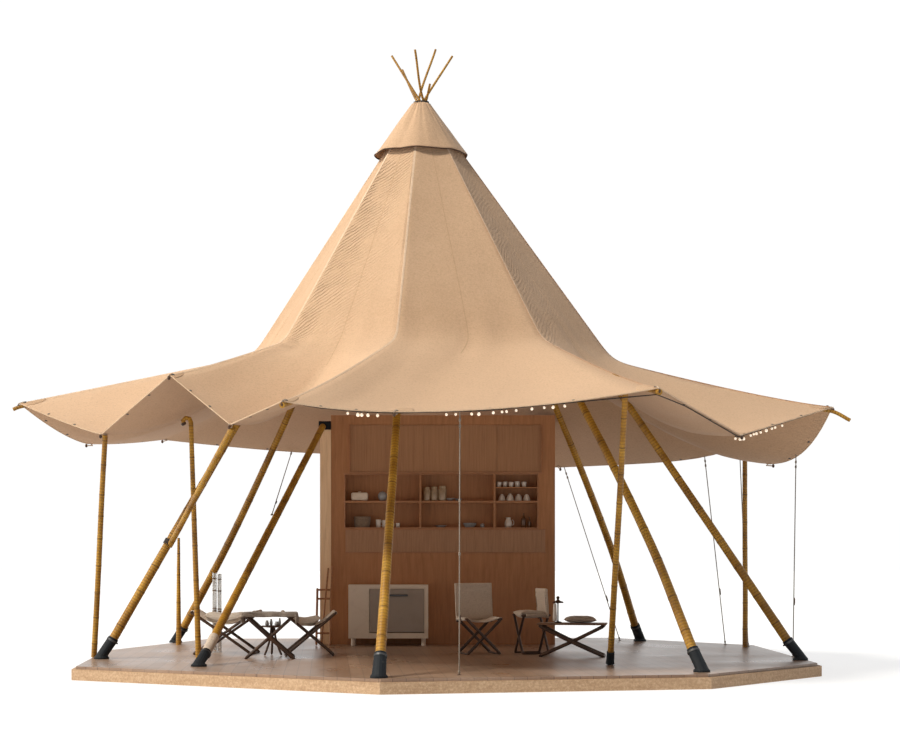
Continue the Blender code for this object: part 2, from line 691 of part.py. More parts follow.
def build_cabinet():
    floor = DECK_TOP
    back = WALL_FRONT - TOUCH
    front = back - CABINET_DEPTH
    body = box("cold_cabinet", (CABINET_LEFT, front, floor + CABINET_LOW),
               (CABINET_RIGHT, back, floor + CABINET_HIGH), CABINET_PAINT)
    hollow = box(
        "cabinet_hollow", (CABINET_DOOR_LEFT, front - 0.05, floor + CABINET_DOOR_LOW),
        (CABINET_DOOR_RIGHT, back - CABINET_WALL, floor + CABINET_DOOR_HIGH), CABINET_PAINT,
        cutters)
    hinge = Vector((
        0, front + CABINET_DOOR_THICKNESS / 2, floor + CABINET_DOOR_LOW + HINGE_HEIGHT))
    pin_reach = DOOR_RUN + 0.012
    left = CABINET_DOOR_LEFT
    right = CABINET_DOOR_RIGHT
    bore = rod("pin_bore", (left - pin_reach - 0.002, hinge.y, hinge.z),
               (right + pin_reach + 0.002, hinge.y, hinge.z), PIN_RADIUS + PIN_PLAY,
               CABINET_PAINT, cutters, 16)
    combine(body, [hollow, bore], 'DIFFERENCE')
    feet = []
    for number, (x, y) in enumerate((
            (CABINET_LEFT + 0.06, front + 0.05), (CABINET_RIGHT - 0.06, front + 0.05),
            (CABINET_LEFT + 0.06, back - 0.05), (CABINET_RIGHT - 0.06, back - 0.05)), 1):
        feet.append(rod(
            f"cabinet_foot_{number}", (x, y, floor + TOUCH), (x, y, floor + CABINET_LOW + 0.01),
            FOOT_RADIUS, STEEL, cutters, 12))
    combine(body, feet, 'UNION')
    door = box(
        "cabinet_door", (left + DOOR_RUN, front, floor + CABINET_DOOR_LOW + DOOR_SWING_GAP),
        (right - DOOR_RUN, front + CABINET_DOOR_THICKNESS, floor + CABINET_DOOR_HIGH - DOOR_RUN),
        CABINET_PAINT)
    pin = rod("door_pin", (left - pin_reach, hinge.y, hinge.z),
              (right + pin_reach, hinge.y, hinge.z), PIN_RADIUS, STEEL, cutters, 16)
    combine(door, [pin], 'UNION')
    middle = -0.335
    grip_height = floor + CABINET_DOOR_HIGH - 0.085
    box("cabinet_handle", (middle - 0.12, front - TOUCH - 0.028, grip_height - 0.012),
        (middle + 0.12, front - TOUCH, grip_height + 0.012), STEEL, rounding=0.006)


def turned(place, heading):
    """A placing matrix for furniture: a spot on the deck and a heading in degrees."""
    return Matrix.Translation(on_deck(place, TOUCH)) @ Matrix.Rotation(
        math.radians(heading), 4, 'Z')


def camp_seat(name, place, heading, width, depth, height, sag, back_height=0.0, back_lean=0.0):
    """A folding camp seat: crossed legs at both sides, rails, and a cloth slung between them.
    A backrest, where there is one, stands on the right side and spans the depth."""
    bar = SEAT_BAR
    half = width / 2
    reach = depth / 2
    placing = turned(place, heading)
    low = bar
    foot_end = half + bar * 0.55
    rail_end = half + bar * 1.45
    beside = bar * 0.18             # the two legs of a cross pass a little beside each other
    lines = [
        ((-foot_end, -reach * 0.9, low), (foot_end, -reach * 0.9, low)),
        ((-foot_end, reach * 0.9, low), (foot_end, reach * 0.9, low)),
        ((-rail_end, -reach, height), (rail_end, -reach, height)),
        ((-rail_end, reach, height), (rail_end, reach, height)),
    ]
    for side in (-half, half):
        lines.append(((side - beside, -reach, height), (side - beside, reach * 0.9, low)))
        lines.append(((side + beside, reach, height), (side + beside, -reach * 0.9, low)))
    top = half + back_lean
    if back_height:
        for side in (-reach, reach):
            lines.append(((half * 0.97, side, height - 0.04), (top, side, back_height)))
        lines.append(((top, -reach - bar * 1.6, back_height), (top, reach + bar * 1.6, back_height)))
    placed = [(placing @ Vector(start), placing @ Vector(end)) for start, end in lines]
    frame_of_rods(f"{name}_frame", placed, bar, DARK_TUBE)
    cloth = 0.014
    steps = 8
    across = (-1, -0.5, 0, 0.5, 1)
    rows = []
    for step in range(steps + 1):
        along = -1 + 2 * step / steps
        dip = sag * (1 - along * along)
        rows.append([
            placing @ Vector((
                side * (half - bar * 2.4), along * (reach - bar - TOUCH), height + cloth / 2 - dip))
            for side in across])
    sheet(f"{name}_sling", rows, CHAIR_CLOTH, (0, 0, -cloth))
    if back_height:
        start = height + 0.06
        rise = back_height - bar - TOUCH - start
        lean = (top - half * 0.97) / (back_height - height + 0.04)
        rows = []
        for step in range(5):
            up = start + rise * step / 4
            away = half * 0.97 + (up - height + 0.04) * lean
            rows.append([
                placing @ Vector((away - cloth / 2, side * (reach - bar * 0.9 - TOUCH), up))
                for side in across])
        sheet(f"{name}_back", rows, CHAIR_CLOTH, placing.to_3x3() @ Vector((cloth, 0, 0)))


def build_furniture():
    camp_seat("stool_left", (-2.35, 0.10), 84.0, 0.45, 0.74, 0.50, 0.15)
    camp_seat("stool_inner", (-1.36, -0.12), 96.0, 0.45, 0.60, 0.50, 0.16)
    camp_seat("chair_middle", (0.645, 0.10), 104.0, 0.42, 0.42, 0.42, 0.05, 0.82, 0.06)
    camp_seat("chair_right", (1.27, 0.16), 14.0, 0.30, 0.36, 0.46, 0.04, 0.76, -0.03)


def camp_table(name, place, heading, width, depth, height):
    bar = SEAT_BAR
    half = width / 2 - 0.03
    reach = depth / 2 - 0.03
    placing = turned(place, heading)
    under = height - 0.02 - TOUCH - bar
    lines = []
    end = reach + bar * 1.45
    beside = bar * 0.18
    for side in (-half, half):
        lines.append(((side, -end, bar), (side, end, bar)))
        lines.append(((side, -end, under), (side, end, under)))
    for side in (-reach, reach):
        lines.append(((-half, side - beside, under), (half, side - beside, bar)))
        lines.append(((half, side + beside, under), (-half, side + beside, bar)))
    placed = [(placing @ Vector(start), placing @ Vector(end)) for start, end in lines]
    frame_of_rods(f"{name}_frame", placed, bar, DARK_TUBE)
    shape = bmesh.new()
    bmesh.ops.create_cube(shape, size=1.0)
    bmesh.ops.scale(shape, vec=(width, depth, 0.02), verts=shape.verts)
    bmesh.ops.translate(shape, vec=(0, 0, height - 0.01), verts=shape.verts)
    bmesh.ops.transform(shape, matrix=placing, verts=shape.verts)
    add(f"{name}_top", finish_mesh(shape, f"{name}_top"), TABLE_TOP)


def build_stays():
    """Taut cords from the hem of the canvas to the deck, or to a pole."""
    stays = (                       # name; side, share, out on the roof; lower end: x, y, height
        ("front", 2, 0.62, 0.95, (0.340, -3.66, 0.0)),
        ("right", 4, 0.27, 0.985, (4.262, -0.44, 0.0)),
        ("right_rear", 5, 0.012, 0.985, (4.13, 1.80, 0.0)),
        ("right_back", 5, 0.10, 0.985, (3.93, 2.38, 0.0)),
        ("wall_right", 5, 0.485, 0.985, (2.66, 3.42, 0.0)),
        ("left_back", 6, 0.60, 0.985, (-1.834, 0.33, 1.646)),
    )
    for name, side, share, out, (x, y, height) in stays:
        foot = on_deck((x, y), height)
        top = end_under_canvas(foot, skirt_point(side, share, out), STAY_RADIUS)
        start = standing((x, y), top, STAY_RADIUS) + Vector((0, 0, height))
        tube(f"stay_{name}", (start, top), STAY_RADIUS, CORD, resolution=2)


def build_light_string():
    """The flex of the string lights, under the hem from the left front corner to the right tip."""
    points = []
    steps = 12
    under_spar = SPAR_RADIUS * 2.3
    for side in (2, 3):
        for step in range(steps + (side == 3)):
            share = step / steps
            place = skirt_point(side, share, 0.985)
            nearness = 1 - abs(share if side == 3 else 1 - share) * 6
            drop = CLOTH + STRING_RADIUS * 1.3 + under_spar * max(0.0, nearness)
            points.append(roof_over(place) - Vector((0, 0, drop)))
    points = points[1:-1]
    rise = Vector((0, 0, room_over(points, STRING_RADIUS) - TOUCH * 2))
    tube("light_string", [point + rise for point in points], STRING_RADIUS, DARK_CORD,
         resolution=2)


build_deck()
pole_eaves = build_main_poles()
build_lashing()
build_roof()
roof_tree = BVHTree.FromObject(
    bpy.data.objects["roof_canvas"], bpy.context.evaluated_depsgraph_get())
build_cap()
build_spars(pole_eaves)
build_awning_poles()
build_wall()
build_brace()
build_cabinet()
build_furniture()
camp_table("table_left", (-1.76, -0.80), 2.0, 0.60, 0.36, 0.52)
camp_table("table_right", (1.71, -0.42), -8.0, 0.80, 0.34, 0.39)
box("table_cushion", (1.62, -0.57, DECK_TOP + 0.3906), (1.98, -0.30, DECK_TOP + 0.49),
    CHAIR_CLOTH, rounding=0.02)
build_stays()
build_light_string()
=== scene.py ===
"""Looks of the pyramid glamping tent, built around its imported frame.

Metres, +Z up. Plan places are an angle from the front (-Y) towards the right (+X) and a radius.
"""
import random
from math import atan, copysign, cos, dist, exp, pi, radians, sin, sqrt, tau

import bmesh
import bpy
from mathutils import Matrix, Vector, noise
from mathutils.bvhtree import BVHTree


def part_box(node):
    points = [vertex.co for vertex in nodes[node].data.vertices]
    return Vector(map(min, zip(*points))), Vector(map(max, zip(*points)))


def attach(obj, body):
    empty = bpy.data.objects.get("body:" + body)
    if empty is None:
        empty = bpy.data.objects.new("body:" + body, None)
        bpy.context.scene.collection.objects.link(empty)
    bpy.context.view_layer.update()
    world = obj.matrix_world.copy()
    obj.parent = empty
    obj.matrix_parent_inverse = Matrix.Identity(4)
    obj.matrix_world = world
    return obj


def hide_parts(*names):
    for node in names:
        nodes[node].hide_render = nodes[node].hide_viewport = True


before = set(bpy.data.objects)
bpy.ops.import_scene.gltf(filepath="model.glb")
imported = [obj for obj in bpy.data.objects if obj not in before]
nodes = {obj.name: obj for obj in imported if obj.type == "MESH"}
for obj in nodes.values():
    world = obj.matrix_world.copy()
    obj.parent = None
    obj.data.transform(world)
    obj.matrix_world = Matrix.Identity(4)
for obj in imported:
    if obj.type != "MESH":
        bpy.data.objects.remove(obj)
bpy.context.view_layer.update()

DECK_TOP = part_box("deck_floor")[1].z
TENT = "tent"

# Camera, level and shifted to the photograph's framing
CAMERA_DISTANCE = 22.2
CAMERA_HEIGHT = 1.233
CAMERA_LENS = 75.2
CAMERA_SHIFT = (0.0281, 0.1972)
SUNS = (                            # name; angle, elevation, strength, softness
    ("key_light", -57.0, 48.0, 3.1, 16.0),
    ("side_light", -92.0, 12.0, 1.25, 30.0),
)
SUN_COLOR = (1.0, 0.95, 0.85)
SKY_STRENGTH = 0.12
SKY_COLOR = (1.0, 0.99, 0.98, 1.0)
GLOW_POWER = 7.0                    # of the light that comes through the cone's canvas
GLOW_SIZE = 3.2
GLOW_HEIGHT = 3.3
GLOW_COLOR = (1.0, 0.80, 0.58)
BACKDROP_RADIUS = 110.0
GROUND_SIZE = 100.0
GROUND_LEVEL = -0.002
GROUND_GLOW = 0.72
GROUND_COLOR = (0.32, 0.32, 0.32, 1.0)
WHITE = (1.0, 1.0, 1.0, 1.0)
BLACK = (0.0, 0.0, 0.0, 1.0)

# Roof, as its frame node is made: ridges give crown angle; knuckle angle, radius, height;
# tip angle, radius, height; hollow. Lows give angle, radius, height; hollow; roundness either side.
CROWN_X = -0.04
CROWN_RING = 0.146
CROWN_RING_HEIGHT = 6.375
RIDGES = (
    (-95.0, -95.0, 2.05, 3.54, -88.0, 4.75, 2.95, 1.02),
    (-63.0, -46.0, 2.15, 3.53, -44.0, 3.80, 3.045, 1.15),
    (-11.0, -8.0, 2.15, 3.49, -17.0, 4.60, 2.645, 1.18),
    (41.0, 36.5, 2.15, 3.53, 29.3, 4.62, 2.80, 1.18),
    (83.0, 78.5, 2.22, 3.42, 84.0, 4.73, 2.88, 1.25),
    (137.0, 138.0, 2.26, 3.53, 110.6, 4.35, 2.60, 1.2),
    (182.0, 178.0, 2.25, 3.53, 184.0, 4.60, 2.75, 1.1),
    (222.0, 228.0, 2.20, 3.50, 232.0, 4.40, 2.70, 1.18),
)
LOWS = (
    (-72.0, 3.80, 2.53, 2.3, 1.15, 1.0),
    (-30.0, 3.90, 2.49, 2.3, 1.0, 1.0),
    (-4.0, 4.15, 2.563, 1.4, 2.3, 2.0),
    (56.3, 4.035, 2.454, 2.3, 1.0, 1.0),
    (97.8, 4.25, 2.28, 1.8, 2.6, 2.2),
    (154.5, 4.37, 2.387, 1.05, 6.0, 1.6),
    (200.0, 4.20, 2.58, 1.05, 1.5, 1.5),
    (254.0, 4.37, 2.56, 1.8, 1.5, 1.5),
)
SIDES = len(RIDGES)
PULLS = (0.5, 1.0, 0.05, 0.2, 0.15, 0.4, 0.5, 0.8)  # how much each side creases off its first ridge
SKIRT_PAINTED_LIGHT = (1.8, 1.0, 1.0, 1.0, 1.0, 1.0, 1.2, 1.8)    # how much lighter each side of the skirt is painted, as painted light
COLUMNS = 20                        # columns of the cloth between two ridges
CONE_ROWS = 120
SKIRT_ROWS = 80
CLOTH = 0.003
CONE_LENGTH = 3.55                  # down the cloth, from the crown to the knuckles
SKIRT_LENGTH = 2.5                  # from the knuckles to the hem
KNUCKLE_ROWS = (14, 16)             # rows above and under the knuckle that are rounded
KNUCKLE_ROUNDS = 30
CREASE_REACH = 0.42                 # how far off a ridge the fine creases fade
CONE_SLACK = 0.022                  # how far the cloth hangs in between two ridges
SKIRT_SLACK = 0.012
KNUCKLE_FOLDS = 0.016               # how high the folds stand out, from large to fine
SKIRT_FOLDS = 0.013
SOFT_FOLDS = 0.011
FINE_FOLDS = 0.0035
HEM_STEPS = 24
HEM_ROLL_RADIUS = 0.0065
CAP_TAPE_RADIUS = 0.0055
PATCH_THICKNESS = 0.0016
SEAT_CLOTH_THICKNESS = 0.004
SOFT_ANGLE = 35                     # edges of the frame's nodes that bend more are rounded
SHARP_ANGLE = 38                    # edges that bend more stay sharp in the shading
CLOTH_SHARP_ANGLE = 70

# Cap over the crown
CAP_X = -0.044
CAP_TOP_RADIUS = 0.097
CAP_TOP_HEIGHT = 6.500
CAP_HEM_RADIUS = 0.538
CAP_HEM_HEIGHT = 5.890

# Canes
LINE_STEP = 0.03                    # of the smoothed middle line
RING_STEP = 0.045                   # between a cane's rings of corners
JOINT_OFFSETS = (-0.014, -0.005, 0.0, 0.005, 0.014)
JOINT_LINE = 0.0065                 # how wide a joint's dark line is
JOINT_SWELL = 0.013                 # how long its swelling is

CROOK_FOOT = (-2.53, -1.16)
CROOK_TOP = (-2.60, -1.30)
CROOK_HEIGHT = 2.66                 # where the hook starts
CROOK_BEND = 0.044
CROOK_FOOT_RADIUS = 0.034
CROOK_TOP_RADIUS = 0.026
LASHING_RADII = (0.0862, 0.0760)    # the outer and the inner winding of the crown's cord
LASHING_CORD = 0.0062
LASHING_HEIGHT = 6.4905
LASHING_RISE = 0.033
LASHING_TURNS = 3.5
CLAMP_DROP = 0.035                  # from a pole's foot down to its boot's clamp
CLAMP_GAP = 0.0135                  # from a pole's side to the clamp's

# Kitchen wall: its face, the sides and heights of its shelf cells over the deck
WALL_FRONT = 2.30
CELLS = (-1.041, -0.057, 0.910, 1.474)
SHELF_HEIGHTS = (1.520, 1.861, 2.223)

# Where, from left to right, the string under the hem has bulbs
LIT_SPANS = ((-1.38, -1.18), (-0.84, -0.44), (0.14, 1.40), (3.28, 3.95))

# Furniture: place, heading, width, depth, height and, for a seat, sag and its back's height and lean
SEAT_BAR = 0.014
STOOL_LEFT = ((-2.35, 0.10), 84.0, 0.45, 0.74, 0.50, 0.15)
STOOL_INNER = ((-1.36, -0.12), 96.0, 0.45, 0.60, 0.50, 0.16)
CHAIR_MIDDLE = ((0.645, 0.10), 104.0, 0.42, 0.42, 0.42, 0.05, 0.82, 0.06)
CHAIR_RIGHT = ((1.27, 0.16), 14.0, 0.30, 0.36, 0.46, 0.04, 0.76, -0.03)
TABLE_LEFT = ((-1.76, -0.80), 2.0, 0.60, 0.36, 0.52)
TABLE_RIGHT = ((1.71, -0.42), -8.0, 0.80, 0.34, 0.39)

# Turned profiles, as shares of a radius and a height, from the foot up
JAR = ((0.86, 0.0), (0.97, 0.02), (1.0, 0.06), (1.0, 0.74), (0.93, 0.80), (0.80, 0.83), (0.80, 0.86),
       (0.88, 0.87), (0.88, 0.97), (0.84, 1.0), (0.10, 1.0))
BOWL_DOWN = ((1.0, 0.0), (1.0, 0.04), (0.97, 0.2), (0.86, 0.5), (0.66, 0.76), (0.42, 0.92),
             (0.36, 0.94), (0.36, 1.0), (0.30, 1.0), (0.28, 0.96), (0.02, 0.96))
CUP = ((0.70, 0.0), (0.74, 0.03), (0.86, 0.3), (0.96, 0.7), (1.0, 0.98), (0.98, 1.0), (0.93, 0.98),
       (0.88, 0.7), (0.76, 0.3), (0.60, 0.1), (0.05, 0.08))
DISH = ((0.55, 0.0), (0.60, 0.1), (0.90, 0.7), (1.0, 1.0), (0.97, 1.0), (0.85, 0.75), (0.55, 0.3),
        (0.05, 0.28))
BOTTLE = ((0.90, 0.0), (1.0, 0.03), (1.0, 0.55), (0.95, 0.62), (0.55, 0.74), (0.36, 0.8), (0.34, 0.9),
          (0.42, 0.905), (0.42, 0.97), (0.38, 1.0), (0.05, 1.0))
JUG = ((0.72, 0.0), (0.80, 0.03), (1.0, 0.3), (0.95, 0.55), (0.66, 0.8), (0.62, 0.9), (0.76, 1.0),
       (0.70, 1.0), (0.56, 0.9), (0.60, 0.8), (0.85, 0.5), (0.85, 0.3), (0.60, 0.08), (0.05, 0.07))
POT = ((0.50, 0.0), (0.62, 0.02), (0.92, 0.25), (1.0, 0.5), (0.90, 0.72), (0.62, 0.86), (0.60, 0.88),
       (0.30, 0.92), (0.14, 0.93), (0.12, 0.97), (0.10, 1.0), (0.02, 1.0))
BIN = ((0.82, 0.0), (0.86, 0.02), (0.90, 0.25), (0.93, 0.27), (0.93, 0.33), (0.92, 0.35), (0.96, 0.62),
       (0.99, 0.64), (0.99, 0.70), (0.97, 0.72), (1.0, 0.96), (1.0, 1.0), (0.95, 1.0), (0.93, 0.9),
       (0.84, 0.5), (0.05, 0.48))


def spot(angle, radius, height=0.0):
    """A place from its plan angle and radius, and its height over the deck."""
    turn = radians(angle)
    return Vector((radius * sin(turn), -radius * cos(turn), DECK_TOP + height))


# Making pieces

def add(name, shape):
    """A named object in the scene, from a bmesh that is used up."""
    mesh = bpy.data.meshes.new(name)
    bmesh.ops.recalc_face_normals(shape, faces=shape.faces)
    shape.to_mesh(mesh)
    shape.free()
    made = bpy.data.objects.new(name, mesh)
    bpy.context.scene.collection.objects.link(made)
    return made


def piece(name, shape, *looks, slot=None, replaces=()):
    """A smoothly shaded object of the tent, from a bmesh and its materials."""
    made = add(name, shape)
    for look in looks:
        made.data.materials.append(look)
    made.data.shade_smooth()
    made.data.set_sharp_from_angle(angle=radians(SHARP_ANGLE))
    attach(made, TENT)
    if replaces:
        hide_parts(*replaces)
    return made


def thicken(made, thickness, offset=0.0):
    """Gives a sheet its thickness. With two materials, the second is on its underside."""
    skin = made.modifiers.new("thickness", 'SOLIDIFY')
    skin.thickness = thickness
    skin.offset = offset
    skin.material_offset = len(made.data.materials) - 1


def facing(axis):
    """The turn that brings Z onto an axis."""
    return axis.to_track_quat('Z', 'Y').to_matrix().to_4x4()


def join(shape, rings, around=True, closed=False, ends=False):
    """Adds the faces between rows of corners, which run around or stop at their ends. Where it is
    closed, the last row meets the first, and ends are faces over the first and the last row."""
    following_rings = rings[1:] + rings[:1] if closed else rings[1:]
    for lower, upper in zip(rings, following_rings):
        for side in range(len(lower) if around else len(lower) - 1):
            following = (side + 1) % len(lower)
            shape.faces.new((lower[side], lower[following], upper[following], upper[side]))
    if ends:
        shape.faces.new(list(reversed(rings[0])))
        shape.faces.new(rings[-1])


def roll(shape, edge, middle, back, wide, high, sides=8):
    """Adds a closed oval bar along a cloth's edge round a middle to a bmesh. back is how far its
    centre lies inwards and down from the edge, and wide and high are its half axes."""
    rings = []
    for index, point in enumerate(edge):
        axis = (edge[(index + 1) % len(edge)] - edge[index - 1]).normalized()
        outwards = (point - middle) * Vector((1.0, 1.0, 0.0))
        outwards = (outwards - axis * outwards.dot(axis)).normalized()
        upwards = axis.cross(outwards)
        centre = point - outwards * back.x - Vector((0.0, 0.0, back.z))
        rings.append([
            shape.verts.new(centre + outwards * (wide * cos(tau * side / sides))
                            + upwards * (high * sin(tau * side / sides)))
            for side in range(sides)])
    join(shape, rings, closed=True)


def sweep(shape, points, radii, sides=12, along=None, joint=None, wide=1.0):
    """Adds a closed round bar along points to a bmesh, with a radius at each of them. The float
    layers along and joint hold the way along the bar and how near it is to a joint."""
    rings = []
    across = None
    way = 0.0
    for index, (point, radius) in enumerate(zip(points, radii)):
        before = points[max(index - 1, 0)]
        after = points[min(index + 1, len(points) - 1)]
        axis = (after - before).normalized()
        if across is None:
            across = axis.orthogonal().normalized()
        across = (across - axis * across.dot(axis)).normalized()
        side_way = axis.cross(across)
        if index:
            way += (point - points[index - 1]).length
        ring = []
        for side in range(sides):
            turn = tau * side / sides
            corner = shape.verts.new(
                point + across * (radius * cos(turn)) + side_way * (radius * wide * sin(turn)))
            if along:
                corner[along] = way
            if joint:
                corner[joint[0]] = joint[1][index]
            ring.append(corner)
        rings.append(ring)
    join(shape, rings, ends=True)


def lathe(shape, profile, place, sides=20, turn=None):
    """Adds a turned form to a bmesh: profile holds (radius, height) from its foot upwards."""
    placing = Matrix.Translation(place) @ (turn or Matrix.Identity(4))
    rings = []
    for radius, height in profile:
        rings.append([
            shape.verts.new(placing @ Vector((
                radius * cos(tau * side / sides),
                radius * sin(tau * side / sides), height)))
            for side in range(sides)])
    join(shape, rings, ends=True)


def block(shape, low, high, rounding=0.0, placing=None):
    """Adds a box with rounded edges to a bmesh."""
    low = Vector(low)
    high = Vector(high)
    part = bmesh.new()
    bmesh.ops.create_cube(part, size=1.0)
    bmesh.ops.scale(part, vec=high - low, verts=part.verts)
    bmesh.ops.translate(part, vec=(low + high) / 2, verts=part.verts)
    if rounding:
        bmesh.ops.bevel(
            part, geom=list(part.edges), offset=rounding, segments=2, profile=0.5,
            affect='EDGES')
    if placing:
        bmesh.ops.transform(part, matrix=placing, verts=part.verts)
    mesh = bpy.data.meshes.new("block")
    part.to_mesh(mesh)
    part.free()
    shape.from_mesh(mesh)
    bpy.data.meshes.remove(mesh)


def spine(name):
    """The centre line of a bar among the frame's nodes, as (centre, radius) from end to end."""
    corners = [corner.co.copy() for corner in nodes[name].data.vertices]
    first = min(corners, key=lambda corner: corner.z)
    last = max(corners, key=lambda corner: (corner - first).length)
    axis = (last - first).normalized()
    ordered = sorted(corners, key=lambda corner: (corner - first).dot(axis))
    groups = [[ordered[0]]]
    for before, corner in zip(ordered, ordered[1:]):
        if (corner - before).dot(axis) > 0.06:
            groups.append([])
        groups[-1].append(corner)
    line = []
    for group in groups:
        centre = sum(group, Vector()) / len(group)
        line.append((centre, sum((corner - centre).length for corner in group) / len(group)))
    return line


def bar_foot(name):
    """Where a bar of the frame starts, its radius there and the turn that brings Z along it."""
    (foot, radius), (onward, _) = spine(name)[:2]
    return foot, radius, facing((onward - foot).normalized())


def smooth_line(line, step):
    """Points and radii a step apart on a rounded curve through a spine."""
    points = [centre for centre, _ in line]
    radii = [radius for _, radius in line]
    made = []
    for index in range(len(points) - 1):
        p1, p2 = points[index], points[index + 1]
        p0 = points[index - 1] if index else p1 * 2 - p2
        p3 = points[index + 2] if index + 2 < len(points) else p2 * 2 - p1
        length = (p2 - p1).length
        start_slope = (p2 - p0) * (length / max((p1 - p0).length + length, 1e-6))
        end_slope = (p3 - p1) * (length / max((p3 - p2).length + length, 1e-6))
        count = max(1, round(length / step))
        for number in range(count + (index == len(points) - 2)):
            t = number / count
            point = (p1 * (2 * t ** 3 - 3 * t ** 2 + 1) + start_slope * (t ** 3 - 2 * t ** 2 + t)
                     + p2 * (3 * t ** 2 - 2 * t ** 3) + end_slope * (t ** 3 - t ** 2))
            made.append((point, radii[index] + (radii[index + 1] - radii[index]) * t))
    return made


# Materials

class Finish:
    """A procedural material, put together node by node in the object's own metres."""

    def __init__(self, name, roughness, metallic=0.0, **sockets):
        self.material = bpy.data.materials.new(name)
        self.material.use_nodes = True
        self.tree = self.material.node_tree
        self.shader = self.tree.nodes["Principled BSDF"]
        self.shader.inputs["Roughness"].default_value = roughness
        self.shader.inputs["Metallic"].default_value = metallic
        for socket, value in sockets.items():
            self.shader.inputs[socket.replace("_", " ")].default_value = value
        self.place = self.node("ShaderNodeTexCoord").outputs["Object"]
        self.normal = None

    def node(self, kind, **values):
        made = self.tree.nodes.new(kind)
        for key, value in values.items():
            if key in made.bl_rna.properties:
                setattr(made, key, value)
            else:
                self.feed(made.inputs[key.replace("_", " ")], value)
        return made

    def feed(self, socket, value):
        if isinstance(value, bpy.types.NodeSocket):
            self.tree.links.new(value, socket)
        else:
            socket.default_value = value

    def mapped(self, scale, turn=(0, 0, 0)):
        """The place in the object, stretched and then turned."""
        made = self.node("ShaderNodeMapping", Vector=self.place)
        made.inputs["Scale"].default_value = scale
        made.inputs["Rotation"].default_value = turn
        return made.outputs["Vector"]

    def noise(self, scale, detail=4.0, rough=0.55, vector=None, warp=0.0):
        made = self.node("ShaderNodeTexNoise", Vector=vector or self.place, Scale=scale,
                         Detail=detail, Roughness=rough, Distortion=warp)
        return made.outputs["Fac"]

    def value(self, name):
        """What the mesh holds in a layer of its own."""
        return self.node("ShaderNodeAttribute", attribute_name=name).outputs["Fac"]

    def combine(self, first, second, operation='ADD'):
        made = self.node("ShaderNodeMath", operation=operation)
        self.feed(made.inputs[0], first)
        self.feed(made.inputs[1], second)
        return made.outputs[0]

    def times(self, first, second):
        return self.combine(first, second, 'MULTIPLY')

    def ramp(self, factor, *stops):
        """A colour or a grey for a factor. Each stop is a place and a colour or a single tone."""
        made = self.node("ShaderNodeValToRGB", Fac=factor)
        stops = [(place, color if isinstance(color, tuple) else (color,) * 3)
                 for place, color in stops]
        elements = made.color_ramp.elements
        elements[0].position = stops[0][0]
        elements[0].color = (*stops[0][1], 1.0)
        elements[1].position = stops[-1][0]
        elements[1].color = (*stops[-1][1], 1.0)
        for place, color in stops[1:-1]:
            elements.new(place).color = (*color, 1.0)
        return made.outputs["Color"]

    def mix(self, factor, first, second):
        """Goes from the first colour to the second by a factor."""
        made = self.node("ShaderNodeMix", data_type='RGBA')
        self.feed(made.inputs[0], factor)
        self.feed(made.inputs[6], (*first, 1.0) if isinstance(first, tuple) else first)
        self.feed(made.inputs[7], (*second, 1.0) if isinstance(second, tuple) else second)
        return made.outputs[2]

    def blend(self, driver, low, high, first, second):
        """Goes from first to second as the driver rises: low and high are its places and shares."""
        return self.mix(self.ramp(driver, low, high), first, second)

    def bump(self, height, depth, strength):
        """Relief in the shading, on top of what is there already."""
        made = self.node("ShaderNodeBump", Height=height, Distance=depth, Strength=strength)
        if self.normal:
            self.feed(made.inputs["Normal"], self.normal)
        self.normal = made.outputs["Normal"]
        self.feed(self.shader.inputs["Normal"], self.normal)

    def color(self, value):
        self.feed(self.shader.inputs["Base Color"], value)
        return self.material

    def roughness(self, value):
        self.feed(self.shader.inputs["Roughness"], value)


